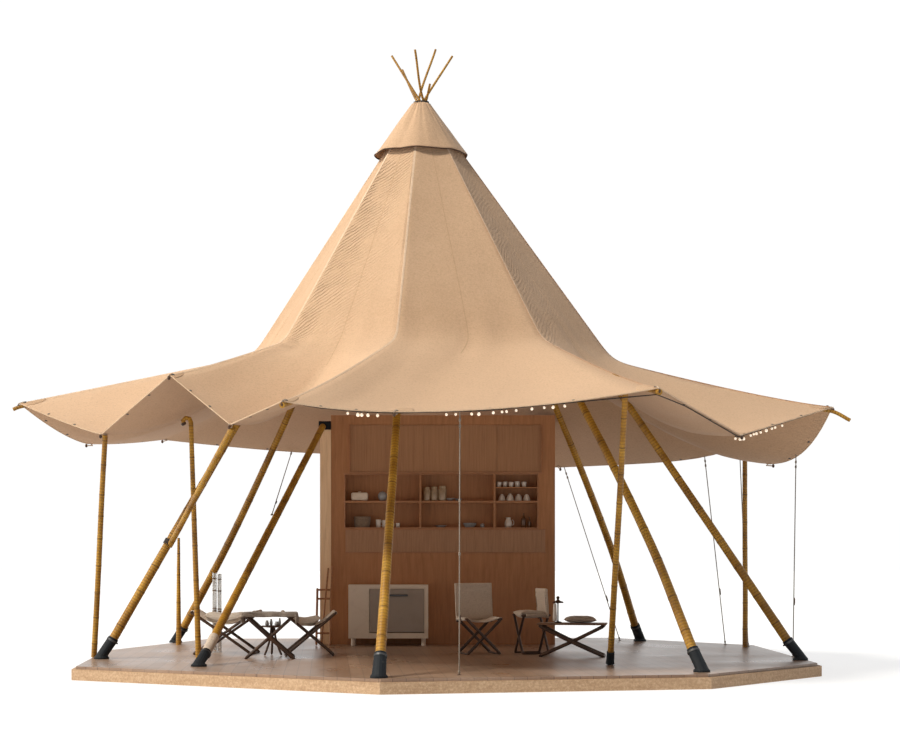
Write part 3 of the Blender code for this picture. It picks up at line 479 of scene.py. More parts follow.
def canvas_finish(name, light, dark, worn):
    """Woven cotton canvas: threads, slubs, faint clouds of colour, and fine creases that fan out
    from the ridges, darkened in the colour as painted shade. The skirt is painted lighter as painted
    light, by the share that the layer skirt holds. The cloth holds length and off, how far a place is
    down and off its ridge, and pull, how hard it is creased there."""
    made = Finish(name, 0.88, Sheen_Weight=0.06, Sheen_Roughness=0.5, Specular_IOR_Level=0.25)
    clouds = made.noise(1.3, 5.0, 0.6)
    base = made.blend(clouds, (0.35, 0.0), (0.68, 1.0), dark, light)
    stains = made.noise(5.5, 6.0, 0.65, warp=0.6)
    base = made.blend(stains, (0.56, 0.0), (0.74, 0.35), base, worn)
    weft = made.noise(1.0, 2.0, 0.5, vector=made.mapped((40.0, 40.0, 420.0)))
    warp = made.noise(1.0, 2.0, 0.5, vector=made.mapped((420.0, 420.0, 40.0)))
    threads = made.combine(weft, warp)
    base = made.blend(threads, (0.8, 0.0), (1.2, 0.16), base, worn)
    # Painted light: the skirt is painted lighter and paler, by the share the layer skirt holds, largest on
    # the sides facing left.
    base = made.mix(made.times(made.value("skirt"), 0.5), base,
                    tuple(min(1.0, tone * gain) for tone, gain in zip(light, (1.22, 1.26, 1.32))))
    sway = made.combine(made.times(made.noise(2.2, 3.0, 0.5), 0.22),
                        made.times(made.noise(8.0, 3.0, 0.6), 0.05))
    phase = made.combine(made.combine(made.value("length"), made.times(made.value("off"), 0.95)), sway)
    creases = made.combine(made.times(phase, 92.0), 0.0, 'SINE')
    patches = made.ramp(made.noise(3.1, 5.0, 0.65), (0.36, 0.12), (0.54, 1.0))
    creases = made.times(creases, made.times(made.value("pull"), patches))
    # Painted shade: the colour is darkened along the creases, where shade falls in their folds.
    base = made.blend(creases, (0.2, 0.0), (0.95, 0.16), base, dark)
    speckle = made.noise(48.0, 3.0, 0.75)
    base = made.blend(speckle, (0.32, 0.36), (0.52, 0.0), base,
                    tuple(tone * 0.7 for tone in dark))
    base = made.blend(speckle, (0.50, 0.0), (0.70, 0.55), base, worn)
    made.bump(threads, 0.0012, 0.5)
    made.bump(made.noise(9.0, 5.0, 0.6, vector=made.mapped((1.0, 1.0, 2.6)), warp=0.8), 0.012, 0.35)
    made.bump(creases, 0.016, 0.7)
    made.bump(speckle, 0.004, 0.4)
    return made.color(base)


def cane_finish():
    """Golden-brown cane: long fibres, darker joints and rings, a dull varnish."""
    made = Finish("cane", 0.46, Specular_IOR_Level=0.3)
    clouds = made.noise(3.0, 5.0, 0.6)
    base = made.ramp(clouds, (0.25, (0.200, 0.085, 0.010)), (0.5, (0.430, 0.210, 0.020)),
                     (0.78, (0.660, 0.375, 0.045)))
    streaks = made.noise(1.0, 3.0, 0.6, vector=made.mapped((90.0, 90.0, 6.0)))
    base = made.blend(streaks, (0.45, 0.0), (0.75, 0.5), base, (0.120, 0.055, 0.012))
    rings = made.node("ShaderNodeMath", operation='PINGPONG')
    made.feed(rings.inputs[0], made.combine(made.value("along"), made.times(clouds, 0.02)))
    rings.inputs[1].default_value = 0.017
    ring_shade = made.ramp(made.times(rings.outputs[0], 58.0), (0.0, 0.95), (0.30, 0.55),
                           (0.55, 0.0))
    base = made.mix(made.times(ring_shade, 0.45), base, (0.085, 0.036, 0.009))
    joints = made.ramp(made.value("joint"), (0.3, 0.0), (1.0, 0.85))
    base = made.mix(joints, base, (0.050, 0.022, 0.008))
    made.bump(streaks, 0.002, 0.5)
    made.bump(rings.outputs[0], 0.5, 0.25)
    made.roughness(made.ramp(clouds, (0.2, 0.34), (0.8, 0.56)))
    return made.color(base)


def rubber_finish():
    """Dark slate rubber with scuffed, paler spots."""
    made = Finish("boot_rubber", 0.7, Specular_IOR_Level=0.22)
    wear = made.noise(14.0, 6.0, 0.65)
    base = made.ramp(wear, (0.35, (0.004, 0.006, 0.008)), (0.62, (0.010, 0.013, 0.017)),
                     (0.8, (0.060, 0.056, 0.050)))
    made.bump(made.noise(160.0, 3.0, 0.6), 0.001, 0.5)
    made.roughness(made.ramp(wear, (0.3, 0.5), (0.8, 0.85)))
    return made.color(base)


def cord_finish(name, light, dark):
    """Twisted cord, with the twist as slanting bands."""
    made = Finish(name, 0.9)
    twist = made.node("ShaderNodeTexWave", wave_type='BANDS', bands_direction='DIAGONAL',
                      Scale=55.0, Distortion=1.5, Detail=1.0)
    made.feed(twist.inputs["Vector"], made.place)
    base = made.mix(made.ramp(twist.outputs["Fac"], (0.3, 0.0), (0.8, 1.0)), dark, light)
    made.bump(twist.outputs["Fac"], 0.002, 0.6)
    return made.color(base)


def wood_finish(name, light, middle, dark, grain, rough=0.55, turn=(0, 0, 0), vein=0.35):
    """Planed timber. grain is how the figure is stretched along X, Y and Z, in cycles a metre."""
    made = Finish(name, rough, Specular_IOR_Level=0.35)
    vector = made.mapped(grain, turn)
    figure = made.noise(1.0, 6.0, 0.62, vector=vector, warp=0.7)
    base = made.ramp(figure, (0.28, dark), (0.5, middle), (0.74, light))
    pores = made.noise(9.0, 3.0, 0.6, vector=vector)
    base = made.mix(made.ramp(pores, (0.5, 0.0), (0.8, vein)), base, dark)
    clouds = made.noise(1.6, 3.0, 0.5)
    base = made.blend(clouds, (0.4, 0.0), (0.7, 0.25), base, light)
    made.bump(pores, 0.0015, 0.6)
    made.bump(made.noise(35.0, 4.0, 0.6), 0.002, 0.25)
    made.roughness(made.ramp(figure, (0.3, rough - 0.08), (0.7, rough + 0.12)))
    return made.color(base)


def floor_finish():
    """Deck boards: staggered joints, each board of its own shade, a satin sheen."""
    made = Finish("floor_boards", 0.32, Specular_IOR_Level=0.5)
    bricks = made.node("ShaderNodeTexBrick", Scale=1.0, Mortar_Size=0.0045, Mortar_Smooth=0.4,
                       Bias=0.0, Brick_Width=3.4, Row_Height=0.132)
    bricks.offset = 0.37
    made.feed(bricks.inputs["Vector"], made.mapped((1.0, 1.0, 1.0), (0, 0, radians(87))))
    bricks.inputs["Color1"].default_value = (0.350, 0.226, 0.150, 1.0)
    bricks.inputs["Color2"].default_value = (0.265, 0.166, 0.108, 1.0)
    bricks.inputs["Mortar"].default_value = (0.130, 0.078, 0.052, 1.0)
    grain = made.noise(1.0, 6.0, 0.62, vector=made.mapped((60.0, 4.0, 4.0), (0, 0, radians(-3))))
    base = made.blend(grain, (0.35, 0.0), (0.75, 0.55), bricks.outputs["Color"],
                    (0.240, 0.150, 0.100))
    haze = made.noise(0.9, 4.0, 0.6)
    base = made.blend(haze, (0.4, 0.0), (0.7, 0.3), base, (0.55, 0.42, 0.33))
    made.bump(grain, 0.001, 0.4)
    made.roughness(made.ramp(haze, (0.3, 0.24), (0.7, 0.42)))
    return made.color(base)


def fascia_finish():
    """Pale pressed board with a fine mottle, a little long grain and worn spots."""
    made = Finish("fascia_board", 0.68, Specular_IOR_Level=0.3)
    grain = made.noise(1.0, 5.0, 0.6, vector=made.mapped((3.0, 3.0, 30.0)))
    base = made.ramp(grain, (0.3, (0.430, 0.268, 0.150)), (0.7, (0.560, 0.370, 0.222)))
    mottle = made.noise(42.0, 4.0, 0.75)
    base = made.blend(mottle, (0.34, 0.55), (0.50, 0.0), base, (0.300, 0.178, 0.095))
    base = made.blend(mottle, (0.52, 0.0), (0.66, 0.55), base, (0.720, 0.520, 0.350))
    made.bump(mottle, 0.002, 0.5)
    return made.color(base)


def paint_finish(name, color, worn, rough, metallic=0.0):
    """Paint or steel with worn patches."""
    made = Finish(name, rough, metallic)
    wear = made.noise(7.0, 6.0, 0.7)
    base = made.blend(wear, (0.5, 0.0), (0.75, 0.6), color, worn)
    made.bump(made.noise(220.0, 2.0, 0.5), 0.0004, 0.4)
    made.roughness(made.ramp(wear, (0.3, rough), (0.8, min(1.0, rough + 0.25))))
    return made.color(base)


def cloth_finish(name, light, dark):
    """Coarse seat cloth with a visible basket weave."""
    made = Finish(name, 0.93, Sheen_Weight=0.25, Specular_IOR_Level=0.2)
    weave = made.node("ShaderNodeTexChecker", Scale=260.0)
    made.feed(weave.inputs["Vector"], made.place)
    fuzz = made.noise(60.0, 5.0, 0.7)
    base = made.blend(fuzz, (0.3, 0.0), (0.75, 1.0), dark, light)
    base = made.mix(made.times(weave.outputs["Fac"], 0.18), base, dark)
    made.bump(weave.outputs["Fac"], 0.0008, 0.5)
    made.bump(made.noise(22.0, 4.0, 0.6), 0.006, 0.35)
    return made.color(base)


def glaze_finish(name, color, speck, rough=0.25):
    """Glazed ware: a little mottled, with pooled darker glaze."""
    made = Finish(name, rough, Specular_IOR_Level=0.5, Coat_Weight=0.3, Coat_Roughness=0.15)
    mottle = made.noise(38.0, 5.0, 0.6)
    base = made.blend(mottle, (0.45, 0.0), (0.7, 0.6), color, speck)
    made.bump(mottle, 0.0008, 0.4)
    made.roughness(made.ramp(mottle, (0.3, rough), (0.8, rough + 0.2)))
    return made.color(base)


def glass_finish(name, color, seen_through, rough=0.12):
    """Glass that holds something: tinted, partly clear."""
    made = Finish(name, rough, Transmission_Weight=seen_through, IOR=1.45)
    fill = made.noise(24.0, 4.0, 0.6, vector=made.mapped((1.0, 1.0, 0.5)))
    base = made.blend(fill, (0.4, 0.0), (0.65, 0.7), color,
                    tuple(value * 0.6 for value in color))
    made.bump(made.noise(50.0, 2.0, 0.5), 0.0006, 0.3)
    return made.color(base)


def bulb_finish():
    """Frosted bulbs that glow a little."""
    made = Finish("bulb_glass", 0.2, Emission_Strength=0.55)
    haze = made.noise(60.0, 3.0, 0.5)
    glow = made.blend(haze, (0.3, 0.0), (0.7, 1.0), (1.0, 0.90, 0.76), (1.0, 0.80, 0.58))
    made.feed(made.shader.inputs["Emission Color"], glow)
    return made.color(glow)


CANVAS_TOP = canvas_finish(
    "canvas_top", (0.635, 0.420, 0.264), (0.585, 0.380, 0.232), (0.690, 0.468, 0.304))
# Painted shade: a darker copy of the canvas for the underside, which the lights reach less.
CANVAS_UNDER_PAINTED_SHADE = canvas_finish(
    "canvas_under", (0.455, 0.280, 0.163), (0.400, 0.242, 0.136), (0.500, 0.316, 0.188))
HEM_TAPE = canvas_finish("hem_tape", (0.650, 0.465, 0.310), (0.570, 0.392, 0.250), (0.730, 0.535, 0.365))
# Partly painted highlight: the ridges' real reinforcing tape, coloured much paler than the canvas to stand
# also for the light line along each ridge.
RIDGE_TAPE_AND_HIGHLIGHT = canvas_finish(
    "ridge_tape", (0.840, 0.620, 0.440), (0.780, 0.560, 0.390), (0.880, 0.680, 0.500))
SEAM_TAPE = canvas_finish(
    "seam_tape", (0.570, 0.372, 0.226), (0.520, 0.335, 0.200), (0.610, 0.405, 0.252))
# Partly painted shadow: a real binding under the cap's brim, made very dark to stand also for the shadow
# the brim casts.
CAP_TAPE_AND_SHADOW = cord_finish("cap_tape", (0.095, 0.045, 0.022), (0.035, 0.017, 0.010))
CANE = cane_finish()
BOOT = rubber_finish()
CORD = cord_finish("stay_cord", (0.380, 0.325, 0.270), (0.150, 0.120, 0.092))
TIE_CORD = cord_finish("tie_cord", (0.700, 0.560, 0.430), (0.420, 0.310, 0.220))
DARK_CORD = cord_finish("dark_cord", (0.060, 0.042, 0.030), (0.018, 0.013, 0.010))
FASCIA = fascia_finish()
FLOOR = floor_finish()
WALL = wood_finish("wall_wood", (0.500, 0.232, 0.098), (0.425, 0.188, 0.076), (0.335, 0.140, 0.053),
                   (26.0, 26.0, 2.2), 0.6)
DOOR = wood_finish("door_wood", (0.440, 0.225, 0.108), (0.385, 0.190, 0.088), (0.300, 0.140, 0.063),
                   (60.0, 20.0, 1.6), 0.58, vein=0.5)
BAND = wood_finish("band_wood", (0.460, 0.255, 0.140), (0.400, 0.210, 0.110), (0.300, 0.150, 0.074),
                   (70.0, 20.0, 3.0), 0.6, vein=0.55)
POST = wood_finish("post_wood", (0.950, 0.690, 0.440), (0.900, 0.620, 0.380), (0.720, 0.470, 0.260),
                   (22.0, 22.0, 1.4), 0.6)
LIPPING = wood_finish("lipping_wood", (0.500, 0.245, 0.120), (0.420, 0.195, 0.092), (0.310, 0.140, 0.062),
                      (4.0, 30.0, 30.0), 0.5)
DARK_WOOD = wood_finish("dark_wood", (0.120, 0.056, 0.026), (0.055, 0.026, 0.013), (0.022, 0.011, 0.007),
                        (9.0, 9.0, 9.0), 0.5)
TABLE_WOOD = wood_finish("table_wood", (0.270, 0.150, 0.080), (0.190, 0.098, 0.050), (0.110, 0.055, 0.028),
                         (3.0, 40.0, 40.0), 0.5)
ENAMEL = paint_finish("enamel", (0.800, 0.680, 0.550), (0.600, 0.490, 0.390), 0.42)
ENAMEL_GREY = paint_finish("enamel_grey", (0.370, 0.300, 0.245), (0.310, 0.250, 0.200), 0.45)
STEEL = paint_finish("dark_steel", (0.070, 0.070, 0.072), (0.140, 0.125, 0.110), 0.38, 0.8)
SEAT_CLOTH = cloth_finish("seat_cloth", (0.720, 0.600, 0.490), (0.530, 0.430, 0.345))
PALE_CLOTH = cloth_finish("pale_cloth", (0.780, 0.700, 0.610), (0.600, 0.520, 0.440))
PATTERN_CLOTH = cloth_finish("pattern_cloth", (0.500, 0.410, 0.330), (0.340, 0.265, 0.205))
TABLE_CLOTH = cloth_finish("table_cloth", (0.400, 0.345, 0.295), (0.260, 0.215, 0.180))
WHITE_GLAZE = glaze_finish("white_glaze", (0.680, 0.600, 0.520), (0.560, 0.480, 0.400))
STONE_GLAZE = glaze_finish("stone_glaze", (0.330, 0.330, 0.330), (0.230, 0.215, 0.200), 0.35)
GLASS_JAR = glass_finish("glass_jar", (0.560, 0.400, 0.250), 0.25)
DARK_GLASS = glass_finish("dark_glass", (0.200, 0.090, 0.035), 0.3)
CLEAR_GLASS = glass_finish("clear_glass", (0.900, 0.880, 0.850), 0.85)
WOVEN = cloth_finish("woven_bin", (0.330, 0.240, 0.170), (0.190, 0.130, 0.085))
BULB = bulb_finish()

NODE_LOOKS = {
    "deck_frame": FASCIA, "deck_floor": FLOOR, "kitchen_wall": WALL, "cupboard_doors": DOOR,
    "band_panel": BAND, "wall_post": POST, "cold_cabinet": ENAMEL, "cabinet_door": ENAMEL_GREY,
    "cabinet_handle": STEEL, "brace_bracket": BOOT, "light_string": DARK_CORD,
    "table_left_top": TABLE_CLOTH,
}
ROUNDED_EDGES = (
    ("cold_cabinet", 0.010), ("cabinet_door", 0.006), ("deck_frame", 0.004), ("deck_floor", 0.003),
    ("wall_post", 0.003), ("cupboard_doors", 0.002), ("band_panel", 0.002), ("brace_bracket", 0.004),
)


# Camera, light and floor

def build_stage():
    """The camera, the suns, a soft glow in the cone, the sky, and the stage of backdrop and ground."""
    data = bpy.data.cameras.new("camera")
    data.sensor_width = 36.0
    data.lens = CAMERA_LENS
    data.shift_x, data.shift_y = CAMERA_SHIFT
    camera = bpy.data.objects.new("camera", data)
    camera.location = (0.0, -CAMERA_DISTANCE, DECK_TOP + CAMERA_HEIGHT)
    camera.rotation_euler = (pi / 2, 0.0, 0.0)
    bpy.context.scene.collection.objects.link(camera)
    bpy.context.scene.camera = camera

    for name, angle, elevation, strength, softness in SUNS:
        light = bpy.data.lights.new(name, 'SUN')
        light.energy = strength
        light.color = SUN_COLOR
        light.angle = radians(softness)
        lamp = bpy.data.objects.new(name, light)
        way = spot(angle, cos(radians(elevation)))
        way.z = sin(radians(elevation))
        lamp.rotation_euler = way.to_track_quat('Z', 'Y').to_euler()
        bpy.context.scene.collection.objects.link(lamp)
    light = bpy.data.lights.new("canvas_glow", 'AREA')
    light.shape = 'DISK'
    light.size = GLOW_SIZE
    light.energy = GLOW_POWER
    light.color = GLOW_COLOR
    glow = bpy.data.objects.new("canvas_glow", light)
    glow.location = (0.0, 0.0, DECK_TOP + GLOW_HEIGHT)
    glow.visible_camera = False
    glow.visible_glossy = False
    bpy.context.scene.collection.objects.link(glow)

    world = bpy.data.worlds.new("studio")
    world.use_nodes = True
    sky = world.node_tree.nodes["Background"]
    sky.inputs["Color"].default_value = SKY_COLOR
    sky.inputs["Strength"].default_value = SKY_STRENGTH
    bpy.context.scene.world = world
    bpy.context.scene.view_settings.view_transform = 'Standard'

    shape = bmesh.new()
    bmesh.ops.create_icosphere(shape, subdivisions=4, radius=BACKDROP_RADIUS)
    backdrop = add("backdrop", shape)
    white = Finish("backdrop_white", 1.0, Base_Color=BLACK, Emission_Color=WHITE, Emission_Strength=1.0)
    backdrop.data.materials.append(white.material)
    backdrop.visible_diffuse = False
    backdrop.visible_shadow = False

    shape = bmesh.new()
    bmesh.ops.create_grid(shape, x_segments=2, y_segments=2, size=GROUND_SIZE)
    bmesh.ops.translate(shape, vec=(0.0, 0.0, GROUND_LEVEL), verts=shape.verts)
    ground = add("floor", shape)
    pale = Finish("pale_floor", 0.9, Emission_Color=WHITE, Emission_Strength=GROUND_GLOW)
    ground.data.materials.append(pale.color(GROUND_COLOR))


# Roof canvas

def ridge_place(number, part):
    """A ridge's plan angle at the crown, or its knuckle or tip. Numbers run on round the roof."""
    turns, index = divmod(number, SIDES)
    crown, knuckle, knuckle_radius, knuckle_height, tip, tip_radius, tip_height, _ = RIDGES[index]
    if part == "crown":
        return crown + 360.0 * turns
    if part == "knuckle":
        return spot(knuckle, knuckle_radius, knuckle_height)
    return spot(tip, tip_radius, tip_height)


def hem_point(side, share):
    """A place on one side's hem, which sags from tip to low to tip."""
    low_angle, low_radius, low_height, _, round_before, round_after = LOWS[side]
    low = spot(low_angle, low_radius, low_height)
    near = share <= 0.5
    roundness = round_before if near else round_after
    tip = ridge_place(side if near else side + 1, "tip")
    towards_low = share * 2 if near else (1 - share) * 2
    point = tip.lerp(low, towards_low)
    point.z = tip.z + (low.z - tip.z) * (1 - (1 - towards_low) ** roundness)
    return point


def skirt_point(side, share, out):
    """A place on the skirt: share of the side from ridge to ridge, out from knuckle to hem."""
    knuckle = ridge_place(side, "knuckle").lerp(ridge_place(side + 1, "knuckle"), share)
    hem = hem_point(side, share)
    lowness = 1 - abs(share * 2 - 1)
    ridge = RIDGES[(side if share <= 0.5 else side + 1) % SIDES][-1]
    power = ridge + (LOWS[side][3] - ridge) * lowness
    point = knuckle.lerp(hem, out)
    point.z = hem.z + (knuckle.z - hem.z) * (1 - out) ** power
    return point


def cone_point(side, share, down):
    """A place on the cone: share of the side from ridge to ridge, down from crown to knuckle."""
    first = ridge_place(side, "crown")
    angle = first + (ridge_place(side + 1, "crown") - first) * share
    crown = spot(angle, CROWN_RING, CROWN_RING_HEIGHT) + Vector((CROWN_X, 0.0, 0.0))
    knuckle = ridge_place(side, "knuckle").lerp(ridge_place(side + 1, "knuckle"), share)
    return crown.lerp(knuckle, down)


def column_line(side, share):
    """One line of the cloth from the crown to the hem, with its knuckle rounded."""
    line = [cone_point(side, share, row / CONE_ROWS) for row in range(CONE_ROWS)]
    line += [skirt_point(side, share, row / SKIRT_ROWS) for row in range(SKIRT_ROWS + 1)]
    start = CONE_ROWS - KNUCKLE_ROWS[0]
    end = CONE_ROWS + KNUCKLE_ROWS[1]
    for _ in range(KNUCKLE_ROUNDS):
        line[start:end] = [(line[row - 1] + line[row] * 2 + line[row + 1]) / 4
                           for row in range(start, end)]
    return line


def cloth_measures(side, share, row):
    """How far a place on the cloth is down from the crown and off the side's first ridge, how hard
    it is creased there, and how much painted light lightens it on the skirt."""
    if row < CONE_ROWS:
        down = row / CONE_ROWS
        length = CONE_LENGTH * down
        off = share * (0.12 + 1.55 * down)
    else:
        out = (row - CONE_ROWS) / SKIRT_ROWS
        length = CONE_LENGTH + SKIRT_LENGTH * out
        off = share * (1.67 + 1.6 * out)
    pull = PULLS[side] * exp(-off / CREASE_REACH) * min(1.0, length / 0.6) if share else 0.0
    if length > CONE_LENGTH:
        pull *= exp(-(length - CONE_LENGTH) / 0.5)
    return length, off, pull, SKIRT_PAINTED_LIGHT[side] * min(1.0, max(0.0, (row + 12 - CONE_ROWS) / 24))


def wrinkle(side, share, row, point):
    """How far the cloth stands out of its plane: slack between the ridges, long folds that fan
    out from the knuckles and soft unevenness."""
    length = cloth_measures(side, share, row)[0]
    if row < CONE_ROWS:
        slack = -CONE_SLACK * sin(pi * share) * sin(pi * row / CONE_ROWS) ** 0.7
    else:
        out = (row - CONE_ROWS) / SKIRT_ROWS
        slack = -SKIRT_SLACK * sin(pi * share * 2) ** 2 * sin(pi * out)
    fan = noise.noise(Vector((share * 9.0, side * 5.7, length * 0.5)))
    near_knuckle = exp(-((length - CONE_LENGTH) / 0.55) ** 2)
    on_skirt = min(1.0, max(0.0, (length - 3.7) / 0.8))
    spokes = noise.noise(Vector((share * 15.0 + 0.3 * length, side * 3.1 + 40.0, length * 0.45)))
    fold = noise.noise(Vector((point.x * 1.4, point.y * 1.4, point.z * 1.1 + side)))
    fine = noise.noise(point * 5.0)
    return (slack + KNUCKLE_FOLDS * fan * near_knuckle + SKIRT_FOLDS * spokes * on_skirt
            + SOFT_FOLDS * fold + FINE_FOLDS * fine)


def lined_cloth(name, shape, cad):
    """Canvas with its two sides, the underside in a darker copy as painted shade, in place of a node of
    the frame.
    """
    made = piece(name, shape, CANVAS_TOP, CANVAS_UNDER_PAINTED_SHADE, slot="canvas", replaces=(cad,))
    if made.data.polygons[0].normal.z < 0:
        made.data.flip_normals()
    thicken(made, CLOTH, -1.0)
    return made


def build_roof():
    """The cone and its skirt in one cloth, creased along its normals and held at ridges and hem."""
    shape = bmesh.new()
    measures = [shape.verts.layers.float.new(name) for name in ("length", "off", "pull", "skirt")]
    columns = [(side, column / COLUMNS) for side in range(SIDES) for column in range(COLUMNS)]
    lines = [column_line(side, share) for side, share in columns]
    rows = len(lines[0])
    grid = []
    for number, (side, share) in enumerate(columns):
        line = lines[number]
        before = lines[number - 1]
        after = lines[(number + 1) % len(lines)]
        made = []
        for row in range(rows):
            down = line[min(row + 1, rows - 1)] - line[max(row - 1, 0)]
            across = after[row] - before[row]
            normal = down.cross(across).normalized()
            if normal.z < 0:
                normal = -normal
            at_edge = min(1.0, (rows - 1 - row) / 5)
            held = min(1.0, min(share, 1 - share) * COLUMNS / 2)
            out = wrinkle(side, share, row, line[row]) * at_edge * held
            corner = shape.verts.new(line[row] + normal * out)
            for measure, value in zip(measures, cloth_measures(side, share, row)):
                corner[measure] = value
            made.append(corner)
        grid.append(made)
    join(shape, grid, around=False, closed=True)
    made = lined_cloth("roof_cloth", shape, "roof_canvas")
    made.data.set_sharp_from_angle(angle=radians(CLOTH_SHARP_ANGLE))
    return made


def ribbon(shape, points, normals, width, lift, thickness):
    """Adds a flat strip along points to a bmesh, lying on a surface with these normals."""
    rings = []
    for index, (point, normal) in enumerate(zip(points, normals)):
        before = points[max(index - 1, 0)]
        after = points[min(index + 1, len(points) - 1)]
        across = (after - before).cross(normal).normalized() * (width / 2)
        base = point + normal * lift
        top = base + normal * thickness
        rings.append([shape.verts.new(corner) for corner in (
            base - across, base + across, top + across * 0.86, top - across * 0.86)])
    join(shape, rings, ends=True)


def on_cloth(cloth, point, lift=0.0):
    """The nearest place on the roof's cloth, lifted off it, and the cloth's upward normal."""
    place, normal, _, _ = cloth.find_nearest(point)
    normal = -normal if normal.z < 0 else normal
    return place + normal * lift, normal


def build_roof_trim():
    """The reinforcing tapes along the ridges, the lapped seams between them and the hem's roll."""
    made = []
    for name, look, share, width, thickness in (
            # The ridge tapes are pale partly as a painted highlight along the ridges.
            ("roof_ridge_tapes", RIDGE_TAPE_AND_HIGHLIGHT, 0.0, 0.024, 0.0022),
            ("roof_seam_tapes", SEAM_TAPE, 0.5, 0.012, 0.0014)):
        shape = bmesh.new()
        for side in range(SIDES):
            line = column_line(side, share)
            beside = column_line(side, share + 0.02)
            normals = []
            for row, point in enumerate(line):
                down = line[min(row + 1, len(line) - 1)] - line[max(row - 1, 0)]
                normal = down.cross(beside[row] - point).normalized()
                normals.append(-normal if normal.z < 0 else normal)
            points = line
            if share:
                points = [
                    point + normal * wrinkle(side, share, row, point) * min(1.0, (len(line) - 1 - row) / 5)
                    for row, (point, normal) in enumerate(zip(line, normals))]
            end = CONE_ROWS + 12 if share else -1
            ribbon(shape, points[3:end], normals[3:end], width, -0.0004, thickness)
        made.append(piece(name, shape, look, slot="canvas"))

    shape = bmesh.new()
    hem = [hem_point(side, step / HEM_STEPS) for side in range(SIDES) for step in range(HEM_STEPS)]
    roll(shape, hem, Vector(), Vector((0.002, 0.0, CLOTH / 2)), HEM_ROLL_RADIUS, HEM_ROLL_RADIUS)
    made.append(piece("roof_hem_roll", shape, HEM_TAPE, slot="canvas"))
    return made


def build_cap():
    """The cap: gathered at the crown, fluted down its cone, with a loose wavy brim."""
    columns = 144
    rows = 34
    middle = Vector((CAP_X, 0.0, 0.0))
    shape = bmesh.new()
    length = shape.verts.layers.float.new("length")
    grid = []
    brim = []
    for column in range(columns):
        angle = 360.0 * column / columns
        made = []
        for row in range(rows + 1):
            share = row / rows
            wave = cos(radians(angle * 8 + 20.0)) * share * share
            radius = CAP_TOP_RADIUS + (CAP_HEM_RADIUS - CAP_TOP_RADIUS) * share
            height = CAP_TOP_HEIGHT + (CAP_HEM_HEIGHT - CAP_TOP_HEIGHT) * share
            gather = noise.noise(Vector((sin(radians(angle)) * 6.0,
                                         cos(radians(angle)) * 6.0, share * 0.7)))
            flute = noise.noise(Vector((sin(radians(angle)) * 2.2,
                                        cos(radians(angle)) * 2.2, share * 1.6 + 9.0)))
            out = 0.006 * wave + 0.011 * gather * (1 - share * 0.5) + 0.010 * flute * share
            curl = max(0.0, (share - 0.90) / 0.10) ** 2
            left = max(0.0, -sin(radians(angle))) ** 2
            out += curl * (0.002 + 0.008 * left)
            droop = curl * 0.004 * (1 - left)
            made.append(middle + spot(angle, radius + out + 0.002, height + out * 0.6 - droop + 0.001))
        grid.append([shape.verts.new(point) for point in made])
        for row, corner in enumerate(grid[-1]):
            corner[length] = row / rows * 0.78 + 0.05 * sin(radians(angle * 3))
        brim.append(made[-1])
    join(shape, grid, around=False, closed=True)
    cap = lined_cloth("cap_cloth", shape, "cap_canvas")
    shape = bmesh.new()
    # The brim's binding, very dark as painted shadow under the brim as well as binding.
    roll(shape, brim, middle, Vector((0.004, 0.0, 0.007)), CAP_TAPE_RADIUS, HEM_ROLL_RADIUS)
    return cap, piece("cap_brim_tape", shape, CAP_TAPE_AND_SHADOW, slot="dark_cord")


# Poles

def cane(name, line, seed, joint_step, slack, sides):
    """A cane pole along a smoothed centre line: swollen joints, a little sway and a taper. The
    piece is named for the frame's node with _cane after it."""
    draw = random.Random(seed)
    made = smooth_line(line, LINE_STEP)
    total = sum((b[0] - a[0]).length for a, b in zip(made, made[1:]))
    joints = []
    way = draw.uniform(0.12, 0.3)
    while way < total - 0.05:
        joints.append(way)
        way += joint_step * draw.uniform(0.82, 1.2)
    points = []
    radii = []
    nearness = []
    shape = bmesh.new()
    along = shape.verts.layers.float.new("along")
    joint = shape.verts.layers.float.new("joint")
    way = 0.0
    index = 0
    count = round(total / RING_STEP)
    marks = {round(number * total / count, 4) for number in range(count + 1)}
    marks |= {round(place + off, 4) for place in joints for off in JOINT_OFFSETS
              if 0 < place + off < total}
    for mark in sorted(marks):
        while index < len(made) - 2 and way + (made[index + 1][0] - made[index][0]).length < mark:
            way += (made[index + 1][0] - made[index][0]).length
            index += 1
        start, end = made[index], made[index + 1]
        t = min(1.0, max(0.0, (mark - way) / max((end[0] - start[0]).length, 1e-6)))
        point = start[0].lerp(end[0], t)
        radius = start[1] + (end[1] - start[1]) * t
        held = min(1.0, mark / 0.4, (total - mark) / 0.4)
        sway = Vector((noise.noise(Vector((mark * 0.8, seed, 0.0))),
                       noise.noise(Vector((mark * 0.8, seed, 9.0))), 0.0)) * slack * held
        near = max([exp(-((mark - place) / JOINT_LINE) ** 2) for place in joints] or [0.0])
        wide = max([exp(-((mark - place) / JOINT_SWELL) ** 2) for place in joints] or [0.0])
        points.append(point + sway)
        radii.append(radius * (0.985 + 0.055 * wide))
        nearness.append(near)
    sweep(shape, points, radii, sides, along, (joint, nearness))
    piece(name, shape, CANE, slot="pole_wood", replaces=(name.replace("_cane", ""),))


def build_poles():
    """Every straight or bowed cane, on the middle line of its node in the frame."""
    names = [name for name in sorted(nodes)
             if name.startswith(("main_pole_", "ridge_spar_", "awning_pole_")) or name in (
                 "brace_pole", "short_post")]
    for number, name in enumerate(names):
        thin = name.startswith(("awning", "ridge", "short"))
        cane(f"{name}_cane", spine(name), number + 1, 0.30 if thin else 0.38,
             0.006 if thin else 0.004, 14 if thin else 18)


